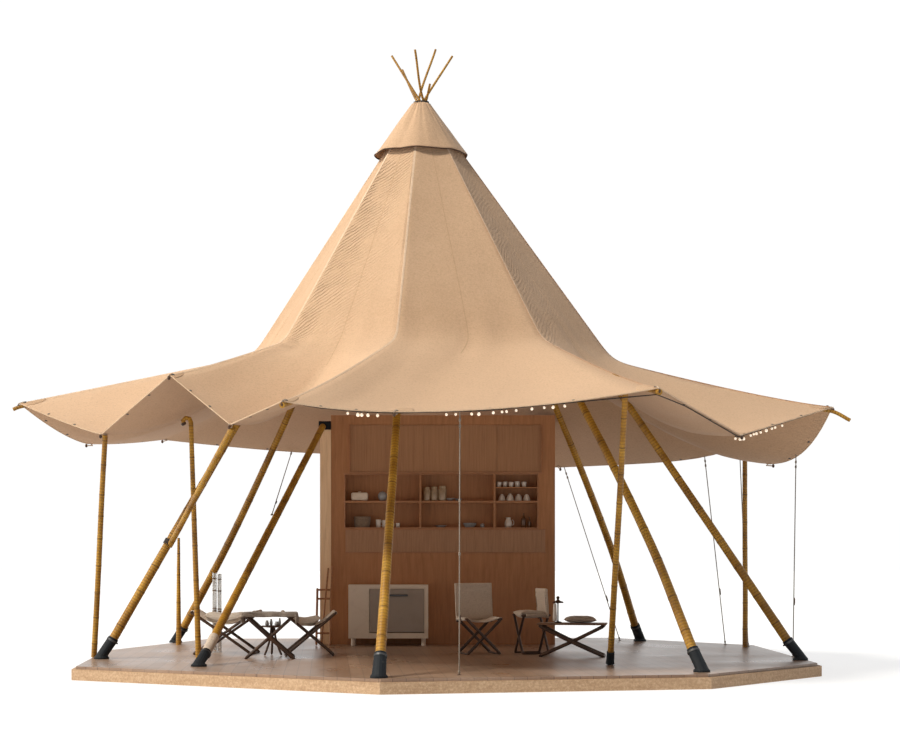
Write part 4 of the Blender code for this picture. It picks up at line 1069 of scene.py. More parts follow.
def build_crook():
    """The crooked pole under the left awning, with a dark cap on its hook's end."""
    top = Vector((*CROOK_TOP, DECK_TOP + CROOK_HEIGHT))
    line = [(Vector((*CROOK_FOOT, DECK_TOP + 0.0025)), CROOK_FOOT_RADIUS)]
    for step in range(9):
        turn = pi * 1.25 * step / 8
        hook = Vector((-CROOK_BEND * (1 - cos(turn)), 0.0, CROOK_BEND * sin(turn)))
        line.append((top + hook, CROOK_TOP_RADIUS))
    cane("crook_pole_cane", line, 77, 0.34, 0.0, 16)
    end = line[-1][0]
    axis = (end - line[-2][0]).normalized()
    shape = bmesh.new()
    lathe(shape, ((0.024, -0.022), (0.0285, -0.020), (0.0285, 0.002), (0.022, 0.008), (0.004, 0.010)),
          end, 20, facing(axis))
    piece("crook_cap", shape, DARK_WOOD, slot="boot_rubber")


def build_lashing():
    """Dark cord wound round the poles where they cross at the crown."""
    shape = bmesh.new()
    whole = 360 * LASHING_TURNS
    for radius in LASHING_RADII:
        points = [Vector((CROWN_X + radius * cos(radians(angle)), radius * sin(radians(angle)),
                          DECK_TOP + LASHING_HEIGHT + LASHING_RISE * angle / whole))
                  for angle in range(0, int(whole) + 1, 10)]
        sweep(shape, points, [LASHING_CORD] * len(points), 10)
    piece("lashing_cord", shape, DARK_CORD, slot="dark_cord",
          replaces=("crown_lashing",))


# Kitchen wall

def build_wall_trim():
    """Lippings on the shelves' edges, and thin strips beside and under the doors."""
    front = WALL_FRONT
    shape = bmesh.new()
    left, right = CELLS[0], CELLS[-1]
    low, _, high = SHELF_HEIGHTS
    for height in SHELF_HEIGHTS:
        block(shape, (left - 0.012, front - 0.0045, DECK_TOP + height - 0.007),
              (right + 0.012, front - 0.0003, DECK_TOP + height + 0.007), 0.0012)
    for across in CELLS:
        block(shape, (across - 0.007, front - 0.0042, DECK_TOP + low),
              (across + 0.007, front - 0.0003, DECK_TOP + high), 0.0012)
    block(shape, (CELLS[-2] + 0.015, front + 0.012, DECK_TOP + 2.0370),
          (right - 0.002, front + 0.020, DECK_TOP + 2.0530), 0.0012)
    piece("shelf_lippings", shape, LIPPING, slot="wall_wood")

    shape = bmesh.new()
    for across in (-0.9745, 1.5175):
        block(shape, (across - 0.004, front - 0.024, DECK_TOP + 2.250),
              (across + 0.004, front - 0.0003, DECK_TOP + 2.860), 0.001)
    for left, right, low, high, out in ((-0.978, 1.521, 2.238, 2.2475, 0.024),
                                        (-1.036, 1.574, 1.4945, 1.5035, 0.012),
                                        (-1.036, 1.574, 1.1975, 1.2065, 0.012)):
        block(shape, (left, front - out, DECK_TOP + low), (right, front - 0.0003, DECK_TOP + high), 0.001)
    piece("door_edge_strips", shape, LIPPING, slot="pale_wood")


def turned_ware(name, look, items):
    """Turned pots, jars and cups in one look: each has a profile, a place along the shelf, a
    shelf height, a radius, a height and a depth behind the wall's face."""
    shape = bmesh.new()
    for profile, across, shelf, radius, height, depth in items:
        lathe(shape, [(radius * wide, height * tall) for wide, tall in profile],
              Vector((across, WALL_FRONT + depth, DECK_TOP + shelf + 0.0008)), 24)
    return piece(name, shape, look)


def build_shelf_ware():
    """Cups, bowls, jars and a tin on the shelves, each group in one look."""
    low, middle, _ = SHELF_HEIGHTS
    upper = middle + 0.014
    half_shelf = 2.0525
    turned_ware("shelf_white_ware", WHITE_GLAZE, [
        (CUP, 0.972, half_shelf, 0.034, 0.070, 0.09), (CUP, 1.052, half_shelf, 0.034, 0.074, 0.12),
        (CUP, 1.130, half_shelf, 0.034, 0.070, 0.09), (CUP, 1.212, half_shelf, 0.036, 0.078, 0.11),
        (CUP, 1.300, half_shelf, 0.034, 0.072, 0.09),
        (BOWL_DOWN, 1.010, upper, 0.048, 0.088, 0.12), (BOWL_DOWN, 1.118, upper, 0.050, 0.094, 0.10),
        (BOWL_DOWN, 1.228, upper, 0.050, 0.090, 0.13), (BOWL_DOWN, 1.335, upper, 0.048, 0.086, 0.10),
        (JUG, 1.095, low, 0.050, 0.138, 0.11), (CUP, -0.605, low, 0.036, 0.110, 0.09),
        (CUP, -0.530, low, 0.034, 0.104, 0.12), (CUP, -0.350, low, 0.028, 0.066, 0.08),
        (CUP, -0.420, low, 0.026, 0.060, 0.14)])
    turned_ware("shelf_stone_ware", STONE_GLAZE, [
        (POT, -0.552, upper, 0.060, 0.130, 0.12), (DISH, 0.335, upper, 0.058, 0.036, 0.10),
        (DISH, 0.440, upper, 0.052, 0.030, 0.13), (DISH, 0.212, low, 0.078, 0.036, 0.12),
        (DISH, 0.590, low, 0.088, 0.050, 0.12), (DISH, 0.590, low + 0.016, 0.090, 0.050, 0.12),
        (POT, 0.755, low, 0.030, 0.062, 0.10)])
    turned_ware("shelf_jars", GLASS_JAR, [
        (JAR, 0.030, upper, 0.046, 0.180, 0.10), (JAR, 0.128, upper, 0.049, 0.186, 0.12),
        (JAR, 0.232, upper, 0.054, 0.196, 0.10)])
    turned_ware("shelf_bottle", DARK_GLASS, [
        (BOTTLE, 1.292, low, 0.034, 0.195, 0.10), (BOTTLE, 1.372, low, 0.026, 0.150, 0.13)])
    turned_ware("shelf_bin", WOVEN, [
        (BIN, -0.818, low, 0.112, 0.150, 0.135)])
    shape = bmesh.new()
    block(shape, (-0.962, WALL_FRONT + 0.05, DECK_TOP + upper + 0.0008),
          (-0.742, WALL_FRONT + 0.20, DECK_TOP + upper + 0.110), 0.022)
    block(shape, (-0.872, WALL_FRONT + 0.115, DECK_TOP + upper + 0.1102),
          (-0.832, WALL_FRONT + 0.135, DECK_TOP + upper + 0.124), 0.005)
    piece("shelf_bread_tin", shape, ENAMEL)
    shape = bmesh.new()
    for across, shelf, height, reach in ((1.137, low, 0.138, 0.030), (-0.572, low, 0.108, 0.018)):
        centre = Vector((across, WALL_FRONT + 0.11, DECK_TOP + shelf + height * 0.52))
        points = [centre + Vector((cos(turn) * reach, 0.0, sin(turn) * height * 0.28))
                  for turn in (radians(-80 + 16 * step) for step in range(11))]
        sweep(shape, points, [0.0045] * len(points), 8)
    piece("jug_handles", shape, WHITE_GLAZE)


# Furniture

def furniture_place(place, heading):
    """Where a piece of furniture stands on the deck, as a matrix."""
    return Matrix.Translation((*place, DECK_TOP)) @ Matrix.Rotation(radians(heading), 4, 'Z')


def stick(shape, placing, start, end, radius, bow=(0.0, 0.0, 0.0), steps=14, wide=1.0):
    """Adds a bar with eased ends to a bmesh, bowed at its middle."""
    start = Vector(start)
    end = Vector(end)
    length = (end - start).length
    points = []
    radii = []
    for share in sorted({0.0, 0.006, 0.02, 0.98, 0.994, 1.0} | {step / steps for step in range(1, steps)}):
        points.append(placing @ (start.lerp(end, share) + Vector(bow) * sin(pi * share)))
        near = min(share, 1 - share) * length / radius
        radii.append(radius * sqrt(min(1.0, 0.35 + near)))
    sweep(shape, points, radii, 12, wide=wide)


def slung_cloth(name, placing, wide, reach, rail, height, sag, cad):
    """Seat cloth looped round two rails and hanging between them."""
    wrap = rail + 0.0035
    slope = atan(2 * sag / reach)
    leave = pi / 2 - slope
    path = []
    for step in range(13):
        turn = radians(-70) - (radians(290) - leave) * step / 12
        path.append((-reach + wrap * cos(turn), height + wrap * sin(turn)))
    start, level = path[-1]
    for step in range(1, 32):
        across = -1 + 2 * step / 32
        path.append((-start * across, level - sag * (1 - across * across)))
    path += [(-across, rise) for across, rise in reversed(path[:13])]
    shape = bmesh.new()
    grid = []
    columns = 16
    for across, rise in path:
        middle = 1 - min(1.0, abs(across / start)) ** 2
        row = []
        for column in range(columns + 1):
            beside = -1 + 2 * column / columns
            hang = 0.010 * middle * (1 - beside * beside)
            crease = 0.0035 * noise.noise(Vector((beside * 1.6, across * 16.0, height * 9.0))) * middle
            row.append(shape.verts.new(placing @ Vector((
                beside * wide * (1 - 0.06 * middle), across, rise - hang + crease))))
        grid.append(row)
    join(shape, grid, around=False)
    edges = [[corner.co.copy() for corner in (row[side] for row in grid)] for side in (0, -1)]
    cloth = piece(f"{name}_cloth", shape, SEAT_CLOTH,
                  slot="chair_cloth", replaces=(cad,))
    thicken(cloth, SEAT_CLOTH_THICKNESS)
    shape = bmesh.new()
    for edge in edges:
        sweep(shape, edge[2:-2], [0.0042] * (len(edge) - 4), 8, wide=1.5)
    hems = piece(f"{name}_hems", shape, SEAT_CLOTH, slot="chair_cloth")
    return level - sag


def sleeved_back(name, placing, reach, foot, top, rail, low, high, cad):
    """A back cloth: a sleeve pulled over the uprights and the bar across their tops. foot and
    top are how far to the side the uprights stand at low and high."""
    columns = 56
    rows = 22
    length = reach + rail + 0.004
    shape = bmesh.new()
    grid = []
    for row in range(rows + 1):
        up = 1 - (1 - row / rows) ** 1.6
        level = low + (high - low) * up
        away = foot + (top - foot) * up
        round_bar = min(1.0, max(0.0, (level - (high - 0.06)) / 0.028))
        closing = sqrt(max(0.0, 1 - max(0.0, (level - (high - rail)) / rail) ** 2))
        ring = []
        for column in range(columns):
            turn = tau * column / columns
            along = copysign(abs(cos(turn)) ** 0.35, cos(turn))
            held = max(abs(along) ** 3, round_bar)
            thick = (rail + 0.006) * (0.45 + 0.55 * held) * max(closing, 0.06)
            bulge = copysign(abs(sin(turn)) ** 0.3, sin(turn)) * thick
            slack = 0.0035 * noise.noise(Vector((along * 1.4, up * 7.0, top * 30.0)))
            slack += 0.012 * sin(pi * up) * (1 - along * along)
            ring.append(shape.verts.new(placing @ Vector((
                away + bulge + slack, along * length, level))))
        grid.append(ring)
    join(shape, grid)
    cloth = piece(f"{name}_back_cloth", shape, SEAT_CLOTH,
                  slot="chair_cloth", replaces=(cad,))
    thicken(cloth, CLOTH, -1.0)


def camp_seat(name, place, heading, width, depth, height, sag, back_height=0.0, back_lean=0.0):
    """A folding camp seat in dark wood, with its slung cloth and, on one side, a back."""
    bar = SEAT_BAR
    half = width / 2
    reach = depth / 2
    placing = furniture_place(place, heading)
    shape = bmesh.new()
    for y in (-reach * 0.9, reach * 0.9):
        stick(shape, placing, (-half - bar, y, bar * 0.8), (half + bar, y, bar * 0.8), bar * 0.75)
    for y in (-reach, reach):
        stick(shape, placing, (-half - bar * 2.2, y, height), (half + bar * 2.2, y, height), bar)
    for side in (-half, half):
        out = copysign(1.0, side)
        stick(shape, placing, (side, -reach, height), (side, reach * 0.95, bar * 0.6), bar * 1.35,
              (0.0, 0.010, -0.012), wide=0.72)
        beside = side + out * bar * 0.8
        stick(shape, placing, (beside, reach, height), (beside, -reach * 0.95, bar * 0.6),
              bar * 1.35, (0.0, 0.010, 0.012), wide=0.72)
    top = half + back_lean
    if back_height:
        for side in (-reach, reach):
            stick(shape, placing, (half * 0.97, side, height - 0.05), (top, side, back_height), bar)
        stick(shape, placing, (top, -reach - bar, back_height), (top, reach + bar, back_height), bar)
    piece(f"{name}_legs", shape, DARK_WOOD, slot="dark_tube",
          replaces=(f"{name}_frame",))
    shape = bmesh.new()
    for side in (-half, half):
        out = copysign(1.0, side)
        turn = Matrix.Rotation(radians(90) * out, 4, 'Y')
        lathe(shape, ((0.006, 0.0), (0.0075, 0.001), (0.0075, 0.003), (0.005, 0.0048), (0.001, 0.005)),
              placing @ Vector((side + out * bar * 1.6, 0.0, height / 2 + bar)), 12,
              placing.to_3x3().to_4x4() @ turn)
    piece(f"{name}_bolts", shape, STEEL, slot="steel")
    slung_cloth(name, placing, half - bar * 2.2, reach, bar, height, sag, f"{name}_sling")
    if back_height:
        sleeved_back(name, placing, reach, half * 0.97, top, bar, height - 0.03,
                     back_height + bar + 0.003, f"{name}_back")
    return placing


def cushion(name, placing, wide, deep, thick, look, seat, replaces=()):
    """A stuffed cushion with a corded seam round its edge, lying on a surface whose height over
    its placing is seat(y)."""
    columns = 36
    rows = 28
    shape = bmesh.new()

    def place(u, v, over):
        pinch = 1 - 0.06 * (1 - u * u) * abs(v) ** 3
        pinch_across = 1 - 0.06 * (1 - v * v) * abs(u) ** 3
        x = u * wide / 2 * pinch_across
        y = v * deep / 2 * pinch
        plump = max(0.0, (1 - abs(u) ** 3.2) * (1 - abs(v) ** 3.2)) ** 0.42
        pucker = 0.004 * noise.noise(Vector((u * 4.0, v * 4.0, over * 3.0 + wide * 40.0)))
        edge = 0.003 * noise.noise(Vector((u * 9.0, v * 9.0, 4.0 + wide * 40.0))) * (1 - plump)
        rise = thick * (0.40 + 0.60 * plump) if over > 0 else thick * 0.40 * (1 - plump)
        level = seat(y) + rise + (pucker if over > 0 else 0.0) * plump + edge
        return placing @ Vector((x, y, level + 0.003))

    shells = []
    for over in (1.0, -1.0):
        shells.append([[None if over < 0 and (row in (0, rows) or column in (0, columns)) else
                        shape.verts.new(place(-1 + 2 * column / columns, -1 + 2 * row / rows, over))
                        for column in range(columns + 1)] for row in range(rows + 1)])
    for row in range(rows + 1):
        for column in range(columns + 1):
            shells[1][row][column] = shells[1][row][column] or shells[0][row][column]
    for shell in shells:
        join(shape, shell, around=False)
    rim = ([shells[0][0][column].co.copy() for column in range(columns)]
           + [shells[0][row][columns].co.copy() for row in range(rows)]
           + [shells[0][rows][column].co.copy() for column in range(columns, 0, -1)]
           + [shells[0][row][0].co.copy() for row in range(rows, 0, -1)])
    pad = piece(name, shape, look, slot="chair_cloth", replaces=replaces)
    shape = bmesh.new()
    loop = rim + rim[:2]
    sweep(shape, loop, [0.0042] * len(loop), 8)
    piece(f"{name}_piping", shape, look, slot="chair_cloth")


def camp_table(name, place, heading, width, depth, height):
    """A folding table's crossed legs in dark wood; its top is made apart, in build_table_tops."""
    bar = SEAT_BAR
    half = width / 2 - 0.03
    reach = depth / 2 - 0.03
    placing = furniture_place(place, heading)
    under = height - 0.02 - bar
    shape = bmesh.new()
    for side in (-half, half):
        stick(shape, placing, (side, -reach - bar, bar * 0.8), (side, reach + bar, bar * 0.8), bar * 0.75)
        stick(shape, placing, (side, -reach - bar, under), (side, reach + bar, under), bar * 0.9)
    for y in (-reach, reach):
        stick(shape, placing, (-half, y, under), (half, y, bar * 0.6), bar * 1.35, (0.010, 0.0, -0.014))
        stick(shape, placing, (half, y + bar * 1.7, under), (-half, y + bar * 1.7, bar * 0.6), bar * 1.35,
              (-0.010, 0.0, -0.014))
    piece(f"{name}_legs", shape, DARK_WOOD, slot="dark_tube",
          replaces=(f"{name}_frame",))
    return placing


def build_table_tops(left, right):
    """The right table's board and the left table's cloth, at the two tables' places."""
    shape = bmesh.new()
    _, _, wide, deep, height = TABLE_RIGHT
    block(shape, (-wide / 2, -deep / 2, height - 0.022), (wide / 2, deep / 2, height - 0.001), 0.007,
          right)
    piece("table_right_board", shape, TABLE_WOOD, slot="table_top", replaces=("table_right_top",))

    # The left table's cloth lies on its top and hangs over the ends in folds.
    _, _, wide, deep, height = TABLE_LEFT
    half, deep = wide / 2, deep / 2
    over_end, over_side = 0.115, 0.05
    columns, rows = 84, 40
    shape = bmesh.new()
    grid = []
    for row in range(rows + 1):
        b = (-1 + 2 * row / rows) * (deep + over_side)
        made = []
        for column in range(columns + 1):
            a = (-1 + 2 * column / columns) * (half + over_end)
            drop_a = max(0.0, abs(a) - half)
            drop_b = max(0.0, abs(b) - deep)
            fold = sin(b * 46.0 + a * 3.0) * 0.016 * min(1.0, drop_a / 0.08)
            fold_b = sin(a * 38.0 + 1.0) * 0.010 * min(1.0, drop_b / 0.05)
            x = copysign(min(abs(a), half) + 0.008 * min(1.0, drop_a / 0.01) + fold, a)
            y = copysign(min(abs(b), deep) + 0.006 * min(1.0, drop_b / 0.01) + fold_b, b)
            drop = max(drop_a, drop_b) + 0.35 * min(drop_a, drop_b)
            rumple = 0.004 * noise.noise(Vector((a * 7.0, b * 9.0, 2.0)))
            made.append(shape.verts.new(left @ Vector((x, y, height + 0.0055 - drop + rumple))))
        grid.append(made)
    join(shape, grid, around=False)
    area = sum(face.calc_area() for face in shape.faces)
    cloth = piece("table_left_cloth", shape, TABLE_CLOTH,
                  slot="table_top")
    thicken(cloth, CLOTH)


def build_furniture():
    """The seats with their cushions, and the tables with the pad beside them."""
    def lying(seat):
        """How high a sling's cloth is over its length."""
        _, _, _, depth, height, sag = seat[:6]
        return lambda y: height - sag * (1 - min(1.0, abs(y) / (depth / 2)) ** 2)

    left = camp_seat("stool_left", *STOOL_LEFT)
    inner = camp_seat("stool_inner", *STOOL_INNER)
    camp_seat("chair_middle", *CHAIR_MIDDLE)
    right = camp_seat("chair_right", *CHAIR_RIGHT)
    cushion("stool_left_cushion", left, 0.36, 0.46, 0.13, PALE_CLOTH, lying(STOOL_LEFT))
    cushion("stool_inner_cushion", inner @ Matrix.Translation((0.0, 0.05, 0.0)), 0.34, 0.36, 0.10,
            PALE_CLOTH, lying(STOOL_INNER))
    cushion("chair_right_cushion", right @ Matrix.Translation((-0.03, 0.0, 0.0)), 0.29, 0.34, 0.085,
            SEAT_CLOTH, lying(CHAIR_RIGHT))
    left_table = camp_table("table_left", *TABLE_LEFT)
    right_table = camp_table("table_right", *TABLE_RIGHT)
    build_table_tops(left_table, right_table)
    low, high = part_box("table_cushion")
    middle = (low + high) / 2
    cushion("table_pad", Matrix.Translation((middle.x, middle.y, low.z)), high.x - low.x,
            high.y - low.y, 0.78 * (high.z - low.z), PATTERN_CLOTH, lambda y: 0.0,
            ("table_cushion",))


# Fittings, cords and lights

def build_boot_clamps():
    """A clamp band and a bolt at the top of each rubber boot."""
    shape = bmesh.new()
    for name in sorted(nodes):
        if not name.startswith(("pole_boot_", "brace_boot")):
            continue
        rod = "brace_pole" if name == "brace_boot" else name.replace("pole_boot_", "main_pole_")
        foot, radius, turn = bar_foot(rod)
        near = foot + turn @ Vector((0.0, 0.0, -CLAMP_DROP))
        radius += CLAMP_GAP
        lathe(shape, ((radius - 0.004, -0.011), (radius, -0.010), (radius + 0.0015, 0.0),
                      (radius, 0.010), (radius - 0.004, 0.011)), near, 32, turn)
        bolt = turn @ Vector((0.0, -radius - 0.002, 0.0))
        lathe(shape, ((0.009, -0.006), (0.009, 0.004), (0.006, 0.007), (0.001, 0.0075)),
              near + bolt, 6, turn @ Matrix.Rotation(pi / 2, 4, 'X'))
    piece("boot_clamps", shape, STEEL, slot="steel")


def build_pole_sleeve():
    """A rubber sleeve on the foot of the front awning pole."""
    foot, radius, turn = bar_foot("awning_pole_front")
    shape = bmesh.new()
    profile = ((0.012, 0.0), (0.013, 0.006), (0.010, 0.03), (0.0075, 0.12), (0.009, 0.125),
               (0.009, 0.137), (0.0055, 0.142), (0.003, 0.142))
    lathe(shape, [(radius + wide, height + 0.002) for wide, height in profile], foot, 24, turn)
    piece("awning_pole_sleeves", shape, BOOT, slot="boot_rubber")


def build_strut_lashing():
    """Cord that holds the corner strut to the left main pole, wound round both."""
    strut = spine("awning_pole_corner")
    pole = spine("main_pole_left")
    lean = (strut[1][0] - strut[0][0]).normalized()
    along = (pole[2][0] - pole[1][0]).normalized()
    away = (lean - along * lean.dot(along)).normalized()
    aside = along.cross(away)
    wide, deep = pole[1][1] + 0.006, pole[1][1] + 0.058
    shape = bmesh.new()
    loops = 5
    points = []
    for step in range(loops * 24 + 1):
        turn = tau * step / 24
        reach = deep if cos(turn) > 0 else wide
        points.append(pole[1][0] + away * (reach * cos(turn)) + aside * (wide * sin(turn))
                      + along * (0.013 * (step / 24 - loops / 2) + 0.016))
    sweep(shape, points, [0.0065] * len(points), 8)
    piece("strut_lashing", shape, DARK_CORD, slot="dark_cord")


def build_brace_wrap():
    """A strip of pale cloth, wound round the foot of the raking pole above its boot."""
    foot, radius, turn = bar_foot("brace_pole")
    shape = bmesh.new()
    profile = [(radius + 0.001, 0.0)]
    for wind in range(5):
        low = 0.004 + wind * 0.058
        profile += [(radius + 0.007, low), (radius + 0.0085, low + 0.030), (radius + 0.0075, low + 0.052),
                    (radius + 0.0055, low + 0.057)]
    profile.append((radius + 0.001, 0.297))
    lathe(shape, profile, foot, 28, turn)
    piece("brace_wrap", shape, SEAT_CLOTH)


def hem_frame(side, share):
    """A place on the hem with its outward direction, for what is sewn or tied there."""
    point = hem_point(side, share)
    inner = skirt_point(side, share, 0.94)
    return point, (point - inner).normalized()


def build_hem_fittings(cloth_piece):
    """Doubled patches, eyelets and toggled ties where the canvas meets spars, poles and stays, and
    small eyelets between them."""
    patches = bmesh.new()
    rings = bmesh.new()
    ties = bmesh.new()
    toggles = bmesh.new()
    corners = [corner.co for corner in cloth_piece.data.vertices]
    cloth = BVHTree.FromPolygons(corners, [tuple(face.vertices) for face in cloth_piece.data.polygons])
    for side in range(SIDES):
        for share in (0.0, 0.5):
            point, out = hem_frame(side, share)
            grid = []
            for step in range(9):
                inwards = 0.10 * step / 8
                reach = 0.034 * sqrt(max(0.02, 1 - (step / 8) ** 2))
                row = []
                for across in range(-6, 7):
                    place = share + reach * across / 6
                    turn = side - 1 if place < 0 else side
                    there = skirt_point(turn % SIDES, place % 1.0, 0.992 - inwards)
                    row.append(patches.verts.new(on_cloth(cloth, there, 0.0022)[0]))
                grid.append(row)
            join(patches, grid, around=False)
            eye, normal = on_cloth(cloth, skirt_point(side, share if share else 0.0005, 0.978), 0.0022)
            turn = facing(normal)
            lathe(rings, ((0.012, 0.0), (0.021, 0.0), (0.021, 0.003), (0.018, 0.005), (0.013, 0.005),
                          (0.0115, 0.003)), eye, 20, turn)
            start = eye + normal * 0.006
            under = point + out * 0.012 - Vector((0, 0, 0.028))
            inner = eye - normal * 0.03 - out * 0.02
            loop = (start, start + out * 0.02, point + out * 0.014, under, inner, eye - normal * 0.012)
            sweep(ties, loop, [0.0075] * len(loop), 8)
            lathe(toggles, ((0.004, -0.022), (0.013, -0.016), (0.017, 0.0), (0.013, 0.016),
                            (0.004, 0.022)), under, 12)
    patch = piece("hem_patches", patches, CANVAS_TOP, slot="canvas")
    thicken(patch, PATCH_THICKNESS)
    piece("hem_eyelets", rings, STEEL, slot="steel")
    piece("hem_ties", ties, TIE_CORD, slot="cord")
    piece("hem_toggles", toggles, DARK_WOOD, slot="dark_tube")

    # Small eyelets along the hem, with a ring on each face of the cloth.
    rings = bmesh.new()
    profile = ((0.008, 0.0), (0.015, 0.0), (0.015, 0.002), (0.012, 0.004), (0.008, 0.004))
    for side in range(SIDES):
        for share in (0.16, 0.32, 0.68, 0.84):
            place, normal = on_cloth(cloth, skirt_point(side, share, 0.983))
            lathe(rings, profile, place + normal * 0.0015, 16, facing(normal))
            lathe(rings, profile, place - normal * (CLOTH + 0.0015), 16, facing(-normal))
    piece("hem_small_eyelets", rings, STEEL, slot="steel")


def build_lights():
    """Sockets and small bulbs that hang from the flex under the front hem."""
    line = smooth_line(spine("light_string"), 0.02)
    draw = random.Random(5)
    sockets = bmesh.new()
    bulbs = bmesh.new()
    way = 0.0
    following = 0.10
    for (point, radius), (onward, _) in zip(line, line[1:]):
        way += (onward - point).length
        if way < following:
            continue
        following += draw.choice((0.05, 0.07, 0.10, 0.15))
        if not any(low < point.x < high for low, high in LIT_SPANS):
            continue
        lean = Matrix.Rotation(draw.uniform(-0.35, 0.35), 4, 'Y') @ Matrix.Rotation(
            draw.uniform(-0.3, 0.3), 4, 'X')
        hang = Matrix.Rotation(pi, 4, 'X') @ lean
        lathe(sockets, ((0.003, 0.0), (0.0055, 0.002), (0.0062, 0.006), (0.0062, 0.012), (0.005, 0.014)),
              point, 12, hang)
        size = draw.uniform(0.95, 1.4)
        lathe(bulbs, [(radius * size, 0.013 + height * size) for radius, height in (
            (0.004, 0.0), (0.006, 0.002), (0.0105, 0.008), (0.0125, 0.015), (0.0110, 0.022),
            (0.006, 0.027), (0.001, 0.029))], point, 14, hang)
    piece("light_sockets", sockets, DARK_CORD, slot="dark_cord")
    piece("light_bulbs", bulbs, BULB)


def build_stay_fittings():
    """A knot at the head of each stay, a wooden runner on it, and a ring plate at its foot."""
    knots = bmesh.new()
    runners = bmesh.new()
    for number, name in enumerate(sorted(nodes)):
        if not name.startswith("stay_"):
            continue
        line = spine(name)
        foot, head = line[0][0], line[-1][0]
        axis = (head - foot).normalized()
        length = (head - foot).length
        turn = facing(axis)
        marks = [0.03, length - 0.10, length - 0.16]
        if name == "stay_front":
            marks += [length * 0.46, length * 0.66]
        for mark in marks:
            lathe(knots, ((0.005, -0.020), (0.010, -0.014), (0.0125, -0.006), (0.010, 0.0),
                          (0.0125, 0.007), (0.009, 0.015), (0.005, 0.020)),
                  foot + axis * mark, 12, turn)
        side = axis.orthogonal().normalized()
        middle = foot + axis * (0.55 + 0.05 * number % 0.2) + side * 0.010
        lathe(runners, ((0.004, -0.045), (0.009, -0.042), (0.011, -0.02), (0.011, 0.02), (0.009, 0.042),
                        (0.004, 0.045)), middle, 14, turn)
        lathe(runners, ((0.004, -0.001), (0.020, 0.0), (0.022, 0.002), (0.020, 0.004), (0.006, 0.005)),
              Vector((foot.x, foot.y, DECK_TOP + 0.0006)) if foot.z < DECK_TOP + 0.1 else foot, 16)
    piece("stay_knots", knots, CORD, slot="cord")
    piece("stay_runners", runners, DARK_WOOD)


# Small things that stand on the deck and the tables

def build_side_table():
    """A round table on three splayed legs, with little vases."""
    centre = Vector((-1.775, -0.25, DECK_TOP))
    wood = bmesh.new()
    lathe(wood, ((0.030, 0.326), (0.125, 0.334), (0.136, 0.340), (0.136, 0.346), (0.128, 0.350),
                 (0.010, 0.350)), centre, 36)
    for leg in range(3):
        turn = radians(100 + 120 * leg)
        way = Vector((cos(turn), sin(turn), 0.0))
        stick(wood, Matrix.Translation(centre), way * 0.02 + Vector((0, 0, 0.33)),
              way * 0.115 + Vector((0, 0, 0.008)), 0.013, -way * 0.02)
    piece("side_table", wood, DARK_WOOD)
    ware = bmesh.new()
    for x, y, radius, height in ((-0.065, -0.01, 0.024, 0.060), (-0.020, 0.03, 0.018, 0.075),
                                 (0.050, -0.02, 0.028, 0.048), (0.080, 0.03, 0.015, 0.085)):
        lathe(ware, [(radius * wide, height * tall) for wide, tall in JUG],
              centre + Vector((x, y, 0.3505)), 20)
    piece("side_table_vases", ware, STONE_GLAZE)


def build_tall_glasses():
    """Two tall glass tubes with bands, behind the left seat."""
    glass = bmesh.new()
    bands = bmesh.new()
    for x, height, radius in ((-2.535, 0.955, 0.026), (-2.475, 0.945, 0.024)):
        foot = Vector((x, 0.48, DECK_TOP + 0.0008))
        lathe(glass, ((radius * 1.2, 0.0), (radius * 1.2, 0.012), (radius, 0.02), (radius, height - 0.01),
                      (radius * 1.05, height), (radius * 0.85, height), (radius * 0.82, 0.03),
                      (0.002, 0.028)), foot, 24)
        for share in (0.30, 0.52, 0.55, 0.78, 0.93):
            lathe(bands, ((radius + 0.0004, -0.007), (radius + 0.0016, -0.005), (radius + 0.0016, 0.005),
                          (radius + 0.0004, 0.007)), foot + Vector((0, 0, height * share)), 24)
    piece("tall_glasses", glass, CLEAR_GLASS)
    piece("tall_glass_bands", bands, WOVEN)


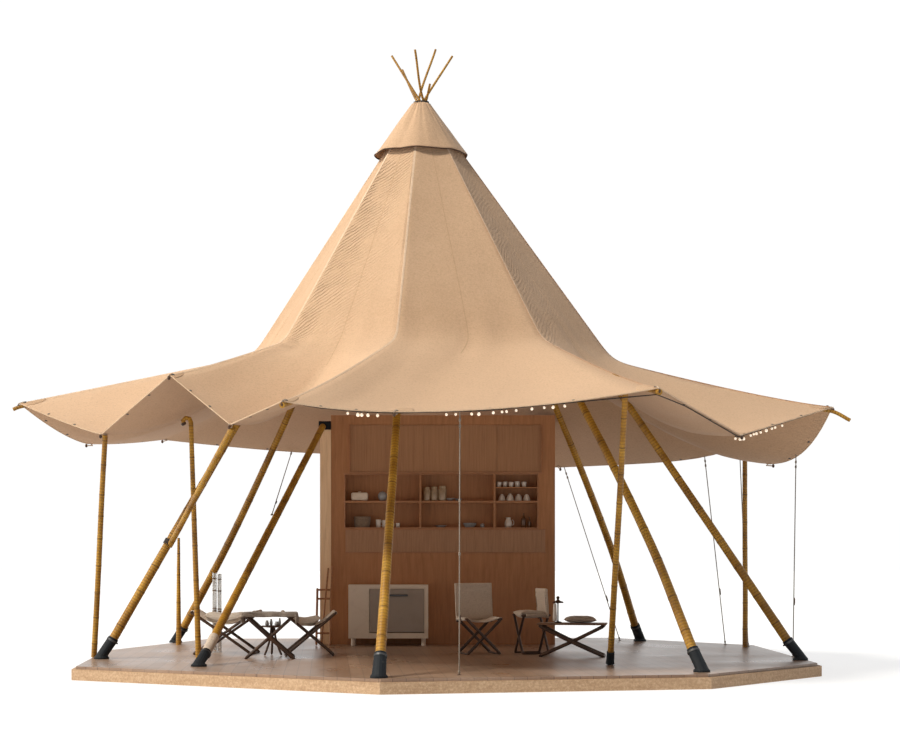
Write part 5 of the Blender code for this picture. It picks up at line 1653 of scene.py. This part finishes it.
def build_lantern():
    """A table lantern: a weighted base, a dark stem, a wide hood and a glass chimney."""
    foot = Vector((1.545, -0.40, DECK_TOP + 0.3908))
    metal = bmesh.new()
    lathe(metal, ((0.040, 0.0), (0.046, 0.003), (0.044, 0.010), (0.012, 0.016), (0.008, 0.03),
                  (0.008, 0.222), (0.014, 0.226), (0.060, 0.228), (0.066, 0.234), (0.058, 0.244),
                  (0.022, 0.256), (0.012, 0.270), (0.016, 0.280), (0.020, 0.292), (0.014, 0.304),
                  (0.002, 0.307)), foot, 32)
    piece("lantern", metal, DARK_WOOD)
    glass = bmesh.new()
    lathe(glass, ((0.018, 0.018), (0.023, 0.022), (0.025, 0.07), (0.022, 0.14), (0.019, 0.205),
                  (0.016, 0.222), (0.002, 0.223)), foot + Vector((-0.036, -0.010, 0.0)), 24)
    piece("lantern_glass", glass, WHITE_GLAZE)


def build_leaning_frame():
    """A folded wooden frame that leans against the wall's post, with two loose slats."""
    shape = bmesh.new()
    still = Matrix.Translation((0.0, 0.0, DECK_TOP))
    for x in (-1.395, -1.215):
        stick(shape, still, (x, 1.99, 0.008), (x, 2.235, 0.735), 0.017, wide=0.7)
    for height, out in ((0.715, 2.228), (0.60, 2.19), (0.16, 2.042)):
        stick(shape, still, (-1.405, out, height), (-1.205, out, height), 0.014, wide=0.8)
    stick(shape, still, (-1.222, 2.05, 0.008), (-1.205, 2.275, 1.03), 0.015, wide=0.6)
    stick(shape, still, (-1.330, 2.02, 0.008), (-1.255, 2.270, 1.00), 0.013, wide=0.6)
    piece("leaning_frame", shape, LIPPING)


def dress_nodes():
    """Gives the frame's nodes that stay in sight their materials."""
    looks = dict(NODE_LOOKS)
    for name, node in nodes.items():
        if name.startswith(("pole_boot", "brace_boot")):
            looks[name] = BOOT
        elif name.startswith("stay_"):
            looks[name] = CORD
        if name in looks:
            node.data.materials.clear()
            node.data.materials.append(looks[name])


def soften(name, width):
    """Rounds the hard edges of a frame node, on which the flat faces are first made whole."""
    node = nodes[name]
    whole = node.modifiers.new("whole_faces", 'DECIMATE')
    whole.decimate_type = 'DISSOLVE'
    whole.angle_limit = radians(2.0)
    ease = node.modifiers.new("eased_edges", 'BEVEL')
    ease.width = width
    ease.segments = 2
    ease.limit_method = 'ANGLE'
    ease.angle_limit = radians(SOFT_ANGLE)
    ease.harden_normals = True


build_stage()
roof = build_roof()
roof_trim = build_roof_trim()
cap, cap_tape = build_cap()
build_poles()
build_crook()
build_lashing()
build_wall_trim()
build_shelf_ware()
build_furniture()
build_boot_clamps()
build_pole_sleeve()
build_strut_lashing()
build_brace_wrap()
build_hem_fittings(roof)
build_lights()
build_stay_fittings()
build_side_table()
build_tall_glasses()
build_lantern()
build_leaning_frame()
dress_nodes()
for name, width in ROUNDED_EDGES:
    soften(name, width)
